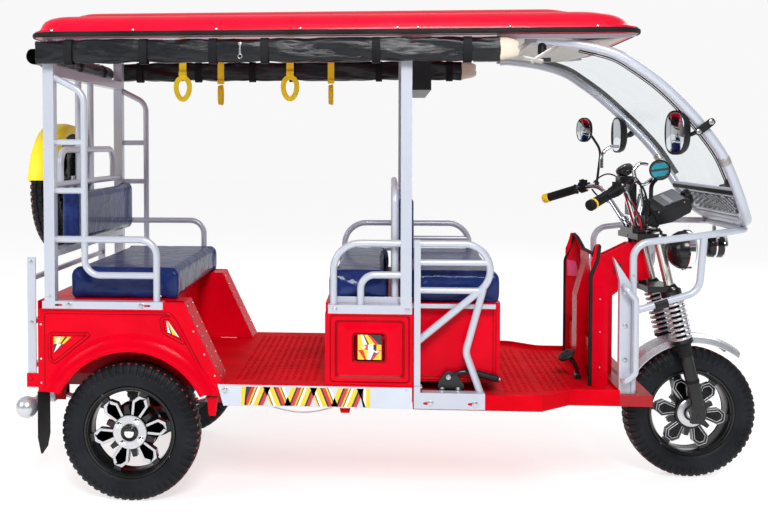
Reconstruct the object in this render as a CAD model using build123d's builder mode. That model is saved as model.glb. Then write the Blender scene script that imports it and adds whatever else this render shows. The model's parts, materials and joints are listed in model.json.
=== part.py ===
from build123d import *
import math
import os

# Electric passenger rickshaw on three wheels. Millimetres, +X forward, +Y left, +Z up.
# The origin is on the ground, midway along the vehicle and between its sides.

os.makedirs("parts", exist_ok=True)

# --- Driving dimensions ----------------------------------------------------------------
wheelbase = 2083
track = 840
tyre_diameter = 500
tyre_width = 95
tread_half = 25
tyre_facets = 72
tread_drop = 25
rim_radius = 152
rim_flange = 166
rim_width = 74
rim_wall = 6
hub_radius = 46
hub_plate = 61
hub_boss = 31
hub_length = 96
spoke_count = 6
spoke_thick = 26
spoke_set = 14
loop_size = 33
loop_bar = 10
rear_spindle = 30
front_spindle = 16
bearing_gap = 0.05

tail_reach = 455
body_half = 476
post_side = 38
sheet = 3
frame_wall = 40
fit = 0.3
running_gap = 5

floor_top = 441
driver_step = 38
platform_bottom = 361
platform_top = 400
seat_deck = 724
roof_edge = 1676
roof_rise = 100
roof_hang = 18
roof_overhang = 43
roof_wall = 4
roof_corner = 110
beam_tall = 21

rail_height = 26
rung = 22
guard = 25

caster_rake = 13.85
steer_rest = 4.5

# --- Sizes that follow from them ---------------------------------------------------------
post_half = body_half + 1
roof_half = post_half + roof_overhang
roof_crown = roof_edge + roof_rise
beam_top = roof_edge - beam_tall
bench_deck = seat_deck
driver_floor_top = floor_top - driver_step
tyre_radius = tyre_diameter / 2
axle_x = -(wheelbase + tyre_radius - tail_reach) / 2
front_axle_x = axle_x + wheelbase
axle_z = tyre_radius
wheel_y = track / 2


def station(distance):
    """A place along the vehicle, a distance forward of the rear axle."""
    return axle_x + distance


def ahead(distance):
    """A place along the vehicle, a distance forward of the front axle, or behind it if negative."""
    return front_axle_x + distance


body_rear = station(-323)
post_rear = station(-281)
post_mid = station(984)
arch_x = station(8)
tub_wall = station(105)
flange_top = station(204)
flange_foot = station(337)
bench_rear = station(702)
bench_step = station(1008)
bench_front = station(1316)
bend_start = ahead(-633)
bend_end = ahead(-523)
shield_rear = ahead(-428)
shield_front = ahead(-361)
nose = ahead(-233)
floor_nose = ahead(-348)
floor_half = body_half + 7
nose_half = floor_half - 96
skirt_wall = 1.5
house_in = wheel_y - tyre_width / 2 - 22.5
roof_rear = station(-339)
roof_front = ahead(-310)

head_top = Vector(ahead(-217), 0, 908)
rake = math.radians(caster_rake)
head_axis_dir = Vector(-math.sin(rake), 0, math.cos(rake))
steering_axis = Axis((head_top.X, 0, head_top.Z), (head_axis_dir.X, 0, head_axis_dir.Z))
sides = {"right": -1, "left": 1}


def bent_path(points, bend):
    """Straight runs from point to point, with arcs of radius bend between them."""
    with BuildLine() as path:
        if len(points) > 2:
            FilletPolyline(*points, radius=bend)
        else:
            Line(*points)
    return path.line


def round_tube(points, bend, diameter):
    """A round bar along straight runs that arcs join."""
    path = bent_path(points, bend)
    with BuildPart() as run:
        with BuildSketch(Plane(origin=path @ 0, z_dir=path % 0)):
            Circle(diameter / 2)
        sweep(path=path)
    return run.part


def flat_tube(points, bend, across, width, height):
    """A rectangular bar: width lies along the direction across, height at right angles to it."""
    path = bent_path(points, bend)
    with BuildPart() as run:
        with BuildSketch(Plane(origin=path @ 0, x_dir=across, z_dir=path % 0)):
            Rectangle(width, height)
        sweep(path=path)
    return run.part


def block(x_range, y_range, z_range):
    """A box between pairs of limits."""
    with BuildPart() as box:
        with Locations((sum(x_range) / 2, sum(y_range) / 2, sum(z_range) / 2)):
            Box(x_range[1] - x_range[0], abs(y_range[1] - y_range[0]), z_range[1] - z_range[0])
    return box.part


def post(x_mid, side_length, y_out, y_in, z_range):
    """A square post whose faces lie half a side either way of x_mid."""
    return block((x_mid - side_length / 2, x_mid + side_length / 2), (y_out, y_in), z_range)


def floor_outline(front):
    """The plan of the driver's floor and its frame, from the bench step to the front."""
    with BuildSketch(Plane.XY) as outline:
        Polygon((bench_step, -floor_half), (bend_start, -floor_half), (bend_end, -nose_half),
                (front, -nose_half), (front, nose_half), (bend_end, nose_half),
                (bend_start, floor_half), (bench_step, floor_half), align=None)
    return outline.sketch


def side_plate(points, y_from, thickness):
    """A flat plate cut to an outline of (x, z) points, standing along the vehicle."""
    with BuildPart() as plate:
        with BuildSketch(Plane.XZ.offset(-y_from)):
            Polygon(*points, align=None)
        extrude(amount=-thickness)
    return plate.part


# --- Chassis ---------------------------------------------------------------------------
rail_y = body_half - 15
rail_tall = 50
rail_half = frame_wall / 2
rail_top = floor_top - 4
rear_rail_y = wheel_y - 120
rail_rear = body_rear + sheet
spring_reach = 296
cheek = 4
cheek_bottom = 330
spring_width = 36
with BuildPart() as chassis_frame:
    for sign in sides.values():
        add(block((station(343), bench_step + 22), (sign * rail_y - rail_half, sign * rail_y + rail_half),
                  (rail_top - rail_tall, rail_top)))
        add(block((bench_step, bench_step + 22), (sign * rail_y - rail_half, sign * rail_y + rail_half),
                  (platform_bottom, rail_top)))
        add(block((rail_rear, station(363)), (sign * rear_rail_y - rail_half, sign * rear_rail_y + rail_half),
                  (rail_top - rail_tall, rail_top)))
    with BuildSketch(Plane.XY.offset(platform_bottom)):
        offset(floor_outline(nose), amount=-skirt_wall - fit)
        offset(floor_outline(nose), amount=-skirt_wall - fit - frame_wall, mode=Mode.SUBTRACT)
    extrude(amount=platform_top - platform_bottom)
    for place in (363, 723):
        add(block((station(place) - rail_half, station(place) + rail_half), (-rail_y, rail_y),
                  (rail_top - frame_wall, rail_top)))
    add(block((bench_step, bench_step + 22), (-rail_y, rail_y), (platform_bottom, rail_top)))
    add(block((rail_rear, rail_rear + frame_wall), (-rear_rail_y, rear_rail_y), (rail_top - frame_wall, rail_top)))
    add(block((bench_front - 36, bench_front + 4), (-rail_y, rail_y), (platform_bottom, platform_top)))
    for place in (-483, -318, -255):
        add(block((ahead(place) - rail_half, ahead(place) + rail_half), (frame_wall - nose_half, nose_half - frame_wall),
                  (platform_bottom, platform_top)))
    for sign in sides.values():
        for place in (-spring_reach, spring_reach):
            for face in (-1, 1):
                y_mid = sign * rear_rail_y + face * (spring_width / 2 + fit + cheek / 2)
                add(block((station(place) - rail_half, station(place) + rail_half),
                          (y_mid - cheek / 2, y_mid + cheek / 2), (cheek_bottom, rail_top)))
chassis_frame.part.label = "chassis_frame"
export_step(chassis_frame.part, "parts/chassis_frame.step")

# Leaf springs: curved packs on the axle tube, pinned between the frame's cheeks.
axle_tube = 30
spring_low = axle_z + axle_tube + fit
leaf_pack = 14
eye_z = 352
with BuildPart() as leaf_springs:
    for sign in sides.values():
        with BuildSketch(Plane.XZ.offset(-sign * rear_rail_y)):
            with BuildLine():
                ThreePointArc((station(-spring_reach), eye_z), (axle_x, spring_low + leaf_pack),
                              (station(spring_reach), eye_z))
                offset(amount=4, side=Side.BOTH)
            make_face()
            with BuildLine():
                ThreePointArc((station(-210), 331), (axle_x, spring_low + leaf_pack / 2), (station(210), 331))
                offset(amount=leaf_pack / 2, side=Side.BOTH)
            make_face()
            with Locations((station(-spring_reach), eye_z), (station(spring_reach), eye_z)):
                Circle(13)
        extrude(amount=spring_width / 2, both=True)
leaf_springs.part.label = "leaf_springs"
export_step(leaf_springs.part, "parts/leaf_springs.step")

# Rear axle: tube, differential, motor, brake drums' back plates and the wheels' spindles.
drum_radius = 92
drum_deep = 22
drum_face = wheel_y - hub_length / 2 - running_gap
with BuildPart() as rear_axle:
    with BuildSketch(Plane.XZ):
        with Locations((axle_x, axle_z)):
            Circle(axle_tube)
    extrude(amount=drum_face, both=True)
    with BuildSketch(Plane.XZ):
        with Locations((axle_x, axle_z)):
            Circle(rear_spindle / 2)
    extrude(amount=wheel_y + hub_length / 2 - 4, both=True)
    for sign in sides.values():
        with BuildSketch(Plane.XZ.offset(-sign * drum_face)):
            with Locations((axle_x, axle_z)):
                Circle(drum_radius)
        extrude(amount=sign * drum_deep)
    with Locations((axle_x, 60, axle_z)):
        Sphere(98)
    with Locations((axle_x + 40, -90, axle_z)):
        Cylinder(82, 250, rotation=(90, 0, 0))
rear_axle.part.label = "rear_axle"
export_step(rear_axle.part, "parts/rear_axle.step")


# --- Wheels ----------------------------------------------------------------------------
def tyre_ring():
    """A tyre about the Y axis at the origin, in flat facets, hollow where the rim carries it."""
    bead = rim_width / 2 - 1
    shoulder_radius = tyre_radius - tread_drop
    turn = 2 * math.pi / tyre_facets
    bore = (rim_radius + fit) / math.cos(turn / 2)
    seat = (rim_flange + fit) / math.cos(turn / 2)
    section = [(bore, bead), (bore, -bead), (seat, -bead), (shoulder_radius, -tyre_width / 2),
               (tyre_radius, -tread_half), (tyre_radius, tread_half), (shoulder_radius, tyre_width / 2), (seat, bead)]
    facets = []
    for step in range(tyre_facets):
        start, stop = step * turn, (step + 1) * turn
        for (first, y_first), (second, y_second) in zip(section, section[1:] + section[:1]):
            facets.append(Face(Wire.make_polygon([(first * math.cos(start), y_first, first * math.sin(start)),
                                                  (second * math.cos(start), y_second, second * math.sin(start)),
                                                  (second * math.cos(stop), y_second, second * math.sin(stop)),
                                                  (first * math.cos(stop), y_first, first * math.sin(stop))])))
    return Solid(Shell(facets))


def wheel_disc(bore, outward, first_loop):
    """A cast wheel about the Y axis at the origin: rim, six hexagonal loops set outward, and a bored hub.

    outward is the side, -1 or 1, of the wheel's face, and first_loop the angle of one loop from forward.
    """
    lip = rim_width / 2 + 4
    plate_face = hub_length / 2 - 12
    plate_thick = 6
    with BuildPart() as disc:
        with BuildSketch(Plane.XY):
            with BuildLine():
                Polyline((rim_radius - rim_wall, -lip), (rim_flange, -lip), (rim_flange, -rim_width / 2),
                         (rim_radius, 1 - rim_width / 2), (rim_radius, rim_width / 2 - 1), (rim_flange, rim_width / 2),
                         (rim_flange, lip), (rim_radius - rim_wall, lip), (rim_radius - rim_wall, -lip))
            make_face()
        revolve(axis=Axis.Y)
        loop_ring = (hub_radius + rim_radius - rim_wall) / 2
        with BuildSketch(Plane.XZ.offset(-outward * spoke_set - spoke_thick / 2)):
            with PolarLocations(loop_ring, spoke_count, start_angle=first_loop):
                RegularPolygon(loop_size, 6)
                RegularPolygon(loop_size - loop_bar, 6, mode=Mode.SUBTRACT)
            with PolarLocations(rim_radius - rim_wall - 12, spoke_count, start_angle=first_loop):
                Rectangle(34, 30)
            with PolarLocations(hub_radius + 8, spoke_count, start_angle=first_loop):
                Rectangle(30, 30)
            Circle(hub_radius)
        extrude(amount=spoke_thick)
        with BuildSketch(Plane.XZ.offset(outward * hub_length / 2)):
            Circle(hub_radius)
        extrude(amount=-outward * (hub_length / 2 + plate_face))
        with BuildSketch(Plane.XZ.offset(-outward * plate_face)):
            Circle(hub_plate)
        extrude(amount=outward * plate_thick)
        with BuildSketch(Plane.XZ.offset(-hub_length / 2)):
            Circle(hub_boss)
        extrude(amount=hub_length)
        with BuildSketch(Plane.XZ.offset(-hub_length / 2)):
            Circle(bore / 2)
        extrude(amount=hub_length, mode=Mode.SUBTRACT)
    return disc.part


rear_loop = 10
front_loop = -9
for side, sign in sides.items():
    place = Location((axle_x, sign * wheel_y, axle_z))
    with BuildPart() as rear_tyre:
        add(tyre_ring().moved(place))
    rear_tyre.part.label = f"rear_tyre_{side}"
    export_step(rear_tyre.part, f"parts/rear_tyre_{side}.step")
    with BuildPart() as rear_wheel:
        add(wheel_disc(rear_spindle + 2 * bearing_gap, sign, rear_loop).moved(place))
    rear_wheel.part.label = f"rear_wheel_{side}"
    export_step(rear_wheel.part, f"parts/rear_wheel_{side}.step")

with BuildPart() as front_tyre:
    add(tyre_ring().moved(Location((front_axle_x, 0, axle_z))))
front_tyre.part = front_tyre.part.rotate(steering_axis, steer_rest)
front_tyre.part.label = "front_tyre"
export_step(front_tyre.part, "parts/front_tyre.step")
with BuildPart() as front_wheel:
    add(wheel_disc(front_spindle + 2 * bearing_gap, -1, front_loop).moved(Location((front_axle_x, 0, axle_z))))
front_wheel.part = front_wheel.part.rotate(steering_axis, steer_rest)
front_wheel.part.label = "front_wheel"
export_step(front_wheel.part, "parts/front_wheel.step")

# --- Floors, sills and the rear body ------------------------------------------------------
with BuildPart() as floor_pan:
    add(block((flange_foot + fit, bench_step), (-floor_half, floor_half), (rail_top, floor_top)))
    add(block((tub_wall, bench_front), (4 - house_in, house_in - 4), (rail_top, floor_top)))
floor_pan.part.label = "floor_pan"
export_step(floor_pan.part, "parts/floor_pan.step")

skirt_bottom = platform_bottom + 4
skirt_top = driver_floor_top + 13
with BuildPart() as driver_floor:
    with BuildSketch(Plane.XY.offset(skirt_bottom)):
        add(floor_outline(floor_nose))
    extrude(amount=skirt_top - skirt_bottom)
    with BuildSketch(Plane.XY.offset(driver_floor_top)):
        offset(floor_outline(floor_nose), amount=-skirt_wall)
    extrude(amount=skirt_top - driver_floor_top, mode=Mode.SUBTRACT)
    with BuildSketch(Plane.XY.offset(skirt_bottom)):
        offset(floor_outline(floor_nose), amount=-skirt_wall)
    extrude(amount=platform_top - skirt_bottom, mode=Mode.SUBTRACT)
    add(block((bench_step - 2, bench_step + 30), (-floor_half, floor_half), (skirt_bottom, skirt_top)),
        mode=Mode.SUBTRACT)
    add(block((floor_nose - 5, floor_nose + 5), (skirt_wall - nose_half, nose_half - skirt_wall),
              (skirt_bottom, platform_top)), mode=Mode.SUBTRACT)
driver_floor.part.label = "driver_floor"
export_step(driver_floor.part, "parts/driver_floor.step")

sill_out = rail_y + rail_half + fit
sill_bottom = platform_bottom + 1
with BuildPart() as sill_panels:
    for sign in sides.values():
        add(side_plate([(station(323), rail_top), (station(344), sill_bottom), (bench_step - sheet, sill_bottom),
                        (bench_step - sheet, rail_top)], sign * sill_out, sign * sheet))
sill_panels.part.label = "sill_panels"
export_step(sill_panels.part, "parts/sill_panels.step")

arch_radius = 282
arch_z = axle_z + 16
flare_radius = 345
flare_out = 16
body_bottom = 397
shoulder = seat_deck - 27
shoulder_in = body_half - 39
for side, sign in sides.items():
    with BuildPart() as rear_body_side:
        add(side_plate([(body_rear, body_bottom), (body_rear, shoulder), (station(127) + fit, shoulder),
                        (station(127) + fit, seat_deck), (flange_top, seat_deck), (flange_foot, floor_top),
                        (flange_foot, body_bottom)], sign * body_half, -sign * sheet))
        add(block((body_rear, station(127)), (sign * body_half, sign * shoulder_in), (shoulder - sheet, shoulder)))
        add(block((body_rear, tub_wall), (sign * shoulder_in, sign * (shoulder_in - sheet)),
                  (shoulder - sheet, seat_deck)))
        add(block((body_rear, flange_top), (sign * shoulder_in, sign * house_in), (seat_deck - sheet, seat_deck)))
        add(side_plate([(body_rear, floor_top), (body_rear, seat_deck), (flange_top, seat_deck),
                        (flange_foot, floor_top)], sign * house_in, sign * sheet))
        add(side_plate([(flange_top - sheet, seat_deck), (flange_top, seat_deck), (flange_foot, floor_top),
                        (flange_foot - sheet, floor_top)], sign * body_half, -sign * (body_half - house_in)))
        with BuildSketch(Plane.XZ.offset(-sign * body_half)):
            with Locations((arch_x, arch_z)):
                Circle(flare_radius - 1)
        extrude(amount=sign * 30, mode=Mode.SUBTRACT)
        with BuildSketch(Plane.XY.offset(arch_z)) as flare:
            Polygon((arch_x + flare_radius, sign * (body_half - sheet)), (arch_x + flare_radius, sign * body_half),
                    (arch_x + arch_radius + sheet, sign * (body_half + flare_out)),
                    (arch_x + arch_radius, sign * (body_half + flare_out)),
                    (arch_x + arch_radius, sign * (body_half - sheet)),
                    (arch_x + arch_radius + sheet, sign * (body_half - sheet)),
                    (arch_x + arch_radius + sheet, sign * (body_half + flare_out - 2 * sheet)), align=None)
        revolve(axis=Axis((arch_x, 0, arch_z), (0, 1, 0)))
        add(block((arch_x - 500, arch_x + 500), (sign * 455, sign * 520), (body_bottom - 600, body_bottom)),
            mode=Mode.SUBTRACT)
    rear_body_side.part.label = f"rear_body_side_{side}"
    export_step(rear_body_side.part, f"parts/rear_body_side_{side}.step")

with BuildPart() as rear_seat_base:
    add(block((body_rear, tub_wall), (sheet - house_in, house_in - sheet), (seat_deck - sheet, seat_deck)))
    add(block((tub_wall - sheet, tub_wall), (sheet - house_in, house_in - sheet), (floor_top, seat_deck)))
    add(block((body_rear, tub_wall), (sheet - house_in, house_in - sheet), (rail_top, floor_top)))
rear_seat_base.part.label = "rear_seat_base"
export_step(rear_seat_base.part, "parts/rear_seat_base.step")

with BuildPart() as rear_panel:
    add(block((body_rear - sheet, body_rear), (-body_half, body_half), (body_bottom, seat_deck)))
rear_panel.part.label = "rear_panel"
export_step(rear_panel.part, "parts/rear_panel.step")

with BuildPart() as battery_pack:
    add(block((station(-290), station(60)), (110 - house_in, house_in - 110), (floor_top, seat_deck - sheet - 55)))
battery_pack.part.label = "battery_pack"
export_step(battery_pack.part, "parts/battery_pack.step")

# --- Side frames: posts, ladders, arm rests and guards -------------------------------------
post_in = post_half - post_side
post_y = post_half - post_side / 2
ladder_x = station(-158)
arm_x = station(102)
arm_z = seat_deck + 219
loop_z = bench_deck + 213
inner_loop_z = bench_deck + 102
rail_deck = shoulder + rail_height
mid_rail_low = bench_deck - 32
mid_rail_top = bench_deck - 2
for side, sign in sides.items():
    with BuildPart() as rear_side_frame:
        add(block((station(-309), station(127)), (sign * post_half, sign * post_in), (shoulder, rail_deck)))
        add(post(post_rear, post_side, sign * post_half, sign * post_in, (rail_deck, beam_top)))
        ladder = [(post_rear, sign * post_y, beam_top - 127), (ladder_x, sign * post_y, beam_top - 190),
                  (ladder_x, sign * post_y, seat_deck + 91), (arm_x, sign * post_y, seat_deck + 91)]
        add(round_tube(ladder, (60, 55), guard - 1))
        arm = [(post_rear, sign * post_y, arm_z), (arm_x, sign * post_y, arm_z), (arm_x, sign * post_y, rail_deck - 5)]
        add(round_tube(arm, 60, guard))
        for height in (arm_z + 346, arm_z + 174):
            add(round_tube([(post_rear, sign * post_y, height), (ladder_x, sign * post_y, height)], 0, rung))
    rear_side_frame.part.label = f"rear_side_frame_{side}"
    export_step(rear_side_frame.part, f"parts/rear_side_frame_{side}.step")

    with BuildPart() as mid_frame:
        add(block((station(713), bench_step - sheet), (sign * post_half, sign * post_in), (mid_rail_low, mid_rail_top)))
        add(post(post_mid, post_side, sign * post_half, sign * post_in, (mid_rail_top, beam_top)))
        outer = [(station(731), sign * post_y, mid_rail_top), (station(731), sign * post_y, loop_z),
                 (post_mid, sign * post_y, loop_z)]
        add(round_tube(outer, 95, guard))
        inner = [(station(826), sign * post_y, mid_rail_top), (station(826), sign * post_y, inner_loop_z),
                 (post_mid, sign * post_y, inner_loop_z)]
        add(round_tube(inner, 50, guard))
    mid_frame.part.label = f"mid_frame_{side}"
    export_step(mid_frame.part, f"parts/mid_frame_{side}.step")

# The driver's guard: one long bend over the arm rest and back down to the post, rungs and a leg.
guard_post_x = bench_step + 15
guard_reach = bench_step + 248
guard_z = bench_deck + 213
guard_foot = bench_deck - 131
guard_bend = 91
slope_run = (guard_z - guard_foot) / math.tan(math.radians(40))
leg_top_x = bench_step + 243
with BuildPart() as driver_guard_right:
    add(post(guard_post_x, rung, -post_half, -post_in, (floor_top, guard_z + guard / 2)))
    add(block((bench_step + 4, guard_reach), (-floor_half - 4, -floor_half - fit), (skirt_bottom, skirt_top + 5)))
    add(block((bench_step + 4, bench_step + 26), (-floor_half - 4, -floor_half - fit), (skirt_top + 5, floor_top)))
    add(block((bench_step + 32, guard_reach), (-floor_half - 4, 30 - post_half), (skirt_top + fit, skirt_top + 5)))
    add(block((bench_step + 4, bench_step + 32), (-floor_half - 4, 30 - post_half), (rail_top + fit, floor_top)))
    arm_bend = [(guard_post_x, -post_y, guard_z), (guard_post_x + slope_run, -post_y, guard_z),
                (guard_post_x, -post_y, guard_foot)]
    add(round_tube(arm_bend, guard_bend, guard))
    add(round_tube([(guard_post_x, -post_y, guard_z - 66), (bench_step + 265, -post_y, guard_z - 66)], 0, rung))
    add(round_tube([(guard_post_x, -post_y, guard_z - 163), (bench_step + 235, -post_y, guard_z - 163)], 0, rung))
    leg = [(leg_top_x, -post_y, bench_deck + 58), (bench_step + 183, -post_y, bench_deck - 165),
           (bench_step + 234, -post_y, skirt_top + 3)]
    add(round_tube(leg, 60, guard))
driver_guard_right.part.label = "driver_guard_right"
export_step(driver_guard_right.part, "parts/driver_guard_right.step")
with BuildPart() as driver_guard_left:
    mirror(driver_guard_right.part, about=Plane.XZ)
driver_guard_left.part.label = "driver_guard_left"
export_step(driver_guard_left.part, "parts/driver_guard_left.step")

hoop_half = 350
hoop_z = 1262
with BuildPart() as rear_cross_frame:
    add(post(post_rear, post_side, -post_in, post_in, (beam_top - 130, beam_top - 95)))
    add(post(post_rear, post_side, -post_in, post_in, (seat_deck + 156, seat_deck + 181)))
    hoop = [(post_rear, -hoop_half, hoop_z - 132), (post_rear, -hoop_half, hoop_z), (post_rear, hoop_half, hoop_z),
            (post_rear, hoop_half, hoop_z - 132)]
    add(round_tube(hoop, 60, guard))
    add(round_tube([(post_rear, -post_in, hoop_z - 127), (post_rear, post_in, hoop_z - 127)], 0, guard))
    for y_mid in (30, -130):
        add(round_tube([(post_rear, y_mid, seat_deck + 166), (post_rear, y_mid, beam_top - 115)], 0, guard))
rear_cross_frame.part.label = "rear_cross_frame"
export_step(rear_cross_frame.part, "parts/rear_cross_frame.step")

# --- Seats ---------------------------------------------------------------------------------
cushion_half = post_in - 3
cushion_top = seat_deck + 112
soft_edge = 18
with BuildPart() as rear_seat_cushion:
    add(block((station(-247), station(190)), (-cushion_half, cushion_half), (seat_deck + fit, cushion_top)))
    fillet(rear_seat_cushion.edges().group_by(Axis.Z)[-1], soft_edge)
rear_seat_cushion.part.label = "rear_seat_cushion"
export_step(rear_seat_cushion.part, "parts/rear_seat_cushion.step")

with BuildPart() as rear_backrest:
    add(block((post_rear + post_side / 2 + fit, post_rear + post_side / 2 + 60),
              (20 - cushion_half, cushion_half - 20), (seat_deck + 181, seat_deck + 401)))
    fillet(rear_backrest.edges().group_by(Axis.X)[-1], soft_edge)
rear_backrest.part.label = "rear_backrest"
export_step(rear_backrest.part, "parts/rear_backrest.step")

cab_half = cushion_half - 36
with BuildPart() as bench_box:
    with BuildSketch(Plane.XY.offset(floor_top)) as plan:
        Polygon((bench_rear, -shoulder_in), (bench_step, -shoulder_in), (bench_step, -cab_half),
                (bench_front, -cab_half), (bench_front, cab_half), (bench_step, cab_half),
                (bench_step, shoulder_in), (bench_rear, shoulder_in), align=None)
    extrude(amount=bench_deck - floor_top)
    add(block((bench_rear, bench_step), (-body_half, body_half), (floor_top, mid_rail_low)))
    add(block((bench_rear + sheet, bench_step - sheet), (sheet - body_half, body_half - sheet),
              (floor_top, mid_rail_low - sheet)), mode=Mode.SUBTRACT)
    with BuildSketch(Plane.XY.offset(floor_top)):
        offset(plan.sketch, amount=-sheet)
    extrude(amount=bench_deck - floor_top - sheet, mode=Mode.SUBTRACT)
bench_box.part.label = "bench_box"
export_step(bench_box.part, "parts/bench_box.step")

back_x = post_mid - 38
with BuildPart() as bench_cushions:
    for ends in ((bench_rear - 1, back_x - guard / 2 - fit), (back_x + guard / 2 + fit, bench_front + 16)):
        add(block(ends, (-cushion_half, cushion_half), (bench_deck + fit, cushion_top)))
    fillet(bench_cushions.edges().group_by(Axis.Z)[-1], soft_edge)
bench_cushions.part.label = "bench_cushions"
export_step(bench_cushions.part, "parts/bench_cushions.step")

back_hoop = cushion_half - 16
back_top = bench_deck + 406
with BuildPart() as middle_backrest_frame:
    hoop = [(back_x, -back_hoop, bench_deck), (back_x, -back_hoop, back_top), (back_x, back_hoop, back_top),
            (back_x, back_hoop, bench_deck)]
    add(round_tube(hoop, 60, guard))
middle_backrest_frame.part.label = "middle_backrest_frame"
export_step(middle_backrest_frame.part, "parts/middle_backrest_frame.step")

with BuildPart() as middle_backrest:
    add(block((back_x + guard / 2 + fit, back_x + 66), (20 - back_hoop, back_hoop - 20), (cushion_top + 6, back_top - 20)))
    fillet(middle_backrest.edges().group_by(Axis.X)[-1], soft_edge)
middle_backrest.part.label = "middle_backrest"
export_step(middle_backrest.part, "parts/middle_backrest.step")

# --- Roof ----------------------------------------------------------------------------------
beam_front = ahead(-643)
with BuildPart() as roof_frame:
    for sign in sides.values():
        add(block((post_rear - post_side / 2, beam_front), (sign * post_half, sign * post_in), (beam_top, roof_edge)))
    for place in (post_rear, station(352), post_mid, beam_front - post_side / 2):
        add(post(place, post_side, -post_half, post_half, (beam_top, roof_edge)))
roof_frame.part.label = "roof_frame"
export_step(roof_frame.part, "parts/roof_frame.step")

roof_brim = 7
roof_shoulder = roof_rise * 0.61
roof_low = roof_edge - roof_hang
plateau_base = 365


def roof_layer(inset, section, profile):
    """A section across the vehicle run along it, trimmed to a side profile and a rounded plan."""
    with BuildPart() as layer:
        with BuildSketch(Plane.YZ.offset(roof_rear + inset)):
            Polygon(*section, align=None)
        extrude(amount=roof_front - roof_rear - 2 * inset)
        with BuildSketch(Plane.XZ):
            Polygon(*profile, align=None)
        extrude(amount=roof_half, both=True, mode=Mode.INTERSECT)
        with BuildSketch(Plane.XY.offset(roof_low)):
            with Locations(((roof_rear + roof_front) / 2, 0)):
                RectangleRounded(roof_front - roof_rear - 2 * inset, 2 * (roof_half - inset), roof_corner - inset)
        extrude(amount=roof_rise + roof_hang, mode=Mode.INTERSECT)
    return layer.part


def roof_block(inset):
    """The roof's outer form drawn in by inset on every side but the bottom: a shell and its raised middle."""
    edge, shoulder_z, crown = roof_edge + roof_brim, roof_edge + roof_shoulder - inset, roof_crown - inset
    section = [(inset - roof_half, roof_low), (inset - roof_half, edge), (58 - roof_half, shoulder_z - 12),
               (90 - roof_half, shoulder_z), (roof_half - 90, shoulder_z), (roof_half - 58, shoulder_z - 12),
               (roof_half - inset, edge), (roof_half - inset, roof_low)]
    profile = [(roof_rear + inset, roof_low), (roof_rear + inset, edge - inset * 0.75),
               (roof_rear + 20 + inset, edge + 2 - inset), (roof_rear + 34 + inset, shoulder_z - 22),
               (roof_rear + 50 + inset, shoulder_z - 8), (roof_rear + 78 + inset, shoulder_z),
               (roof_front - 165 - inset, shoulder_z), (roof_front - 100 - inset, shoulder_z - 6),
               (roof_front - 58 - inset, shoulder_z - 24), (roof_front - 30 - inset, edge + 2 - inset),
               (roof_front - inset, edge - inset * 0.75), (roof_front - inset, roof_low)]
    raised = [(inset - plateau_base, roof_edge), (inset - plateau_base, shoulder_z), (inset + 35 - plateau_base, crown - 16),
              (-150, crown - 3), (0, crown), (150, crown - 3), (plateau_base - 35 - inset, crown - 16),
              (plateau_base - inset, shoulder_z), (plateau_base - inset, roof_edge)]
    run = [(roof_rear + 100 + inset, roof_edge), (roof_rear + 100 + inset, shoulder_z), (roof_rear + 145 + inset, crown - 12),
           (roof_rear + 190, crown), (roof_front - 340, crown), (roof_front - 225 - inset, crown - 16),
           (roof_front - 170 - inset, shoulder_z), (roof_front - 170 - inset, roof_edge)]
    with BuildPart() as form:
        add(roof_layer(inset, section, profile))
        add(roof_layer(inset, raised, run))
    return form.part


with BuildPart() as roof_shell:
    add(roof_block(0))
    add(roof_block(roof_wall), mode=Mode.SUBTRACT)
roof_shell.part.label = "roof_shell"
export_step(roof_shell.part, "parts/roof_shell.step")

with BuildPart() as roof_liner:
    with BuildSketch(Plane.XY.offset(roof_edge)):
        with Locations(((roof_rear + roof_front) / 2, 0)):
            RectangleRounded(roof_front - roof_rear - 2 * roof_wall, 2 * (roof_half - roof_wall), roof_corner - roof_wall)
    extrude(amount=sheet)
roof_liner.part.label = "roof_liner"
export_step(roof_liner.part, "parts/roof_liner.step")

roll_thick = 53
roll_tall = 90
roll_top = beam_top - 5
roll_round = 34
rear_roll_x = post_rear - post_side / 2 - fit - roll_round
with BuildPart() as curtain_rolls:
    for sign in sides.values():
        with BuildSketch(Plane.YZ.offset(body_rear + 13)):
            with Locations((sign * (post_half + fit + roll_thick / 2), roll_top - roll_tall / 2)):
                RectangleRounded(roll_thick, roll_tall, 22)
        extrude(amount=1640)
    with BuildSketch(Plane.XZ):
        with Locations((rear_roll_x, beam_top - 59)):
            Circle(roll_round)
    extrude(amount=post_half - 7, both=True)
curtain_rolls.part.label = "curtain_rolls"
export_step(curtain_rolls.part, "parts/curtain_rolls.step")

strap_half = 250
strap_mid = beam_top - 165
with BuildPart() as hand_straps:
    for place, sign in ((156, -1), (215, 1), (558, -1), (681, 1)):
        with BuildSketch(Plane.XZ.offset(-sign * strap_half)):
            with Locations((station(place), beam_top - 55)):
                Rectangle(24, 110)
            with Locations((station(place), strap_mid)):
                SlotCenterToCenter(50, 62, rotation=90)
                SlotCenterToCenter(50, 34, rotation=90, mode=Mode.SUBTRACT)
        extrude(amount=2, both=True)
    for place in (170, 620):
        add(block((station(place) - 60, station(place) + 75), (-post_in, post_in), (beam_top, beam_top + 6)))
hand_straps.part.label = "hand_straps"
export_step(hand_straps.part, "parts/hand_straps.step")

with BuildPart() as overhead_box:
    box_rear, box_front = post_mid + post_side / 2 + fit, post_mid + 91
    add(block((box_rear, box_front), (-310, 310), (beam_top - 177, beam_top)))
    add(block((box_rear, box_front), (-40, 40), (beam_top - 20, roof_edge - 3)))
overhead_box.part.label = "overhead_box"
export_step(overhead_box.part, "parts/overhead_box.step")

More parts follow.
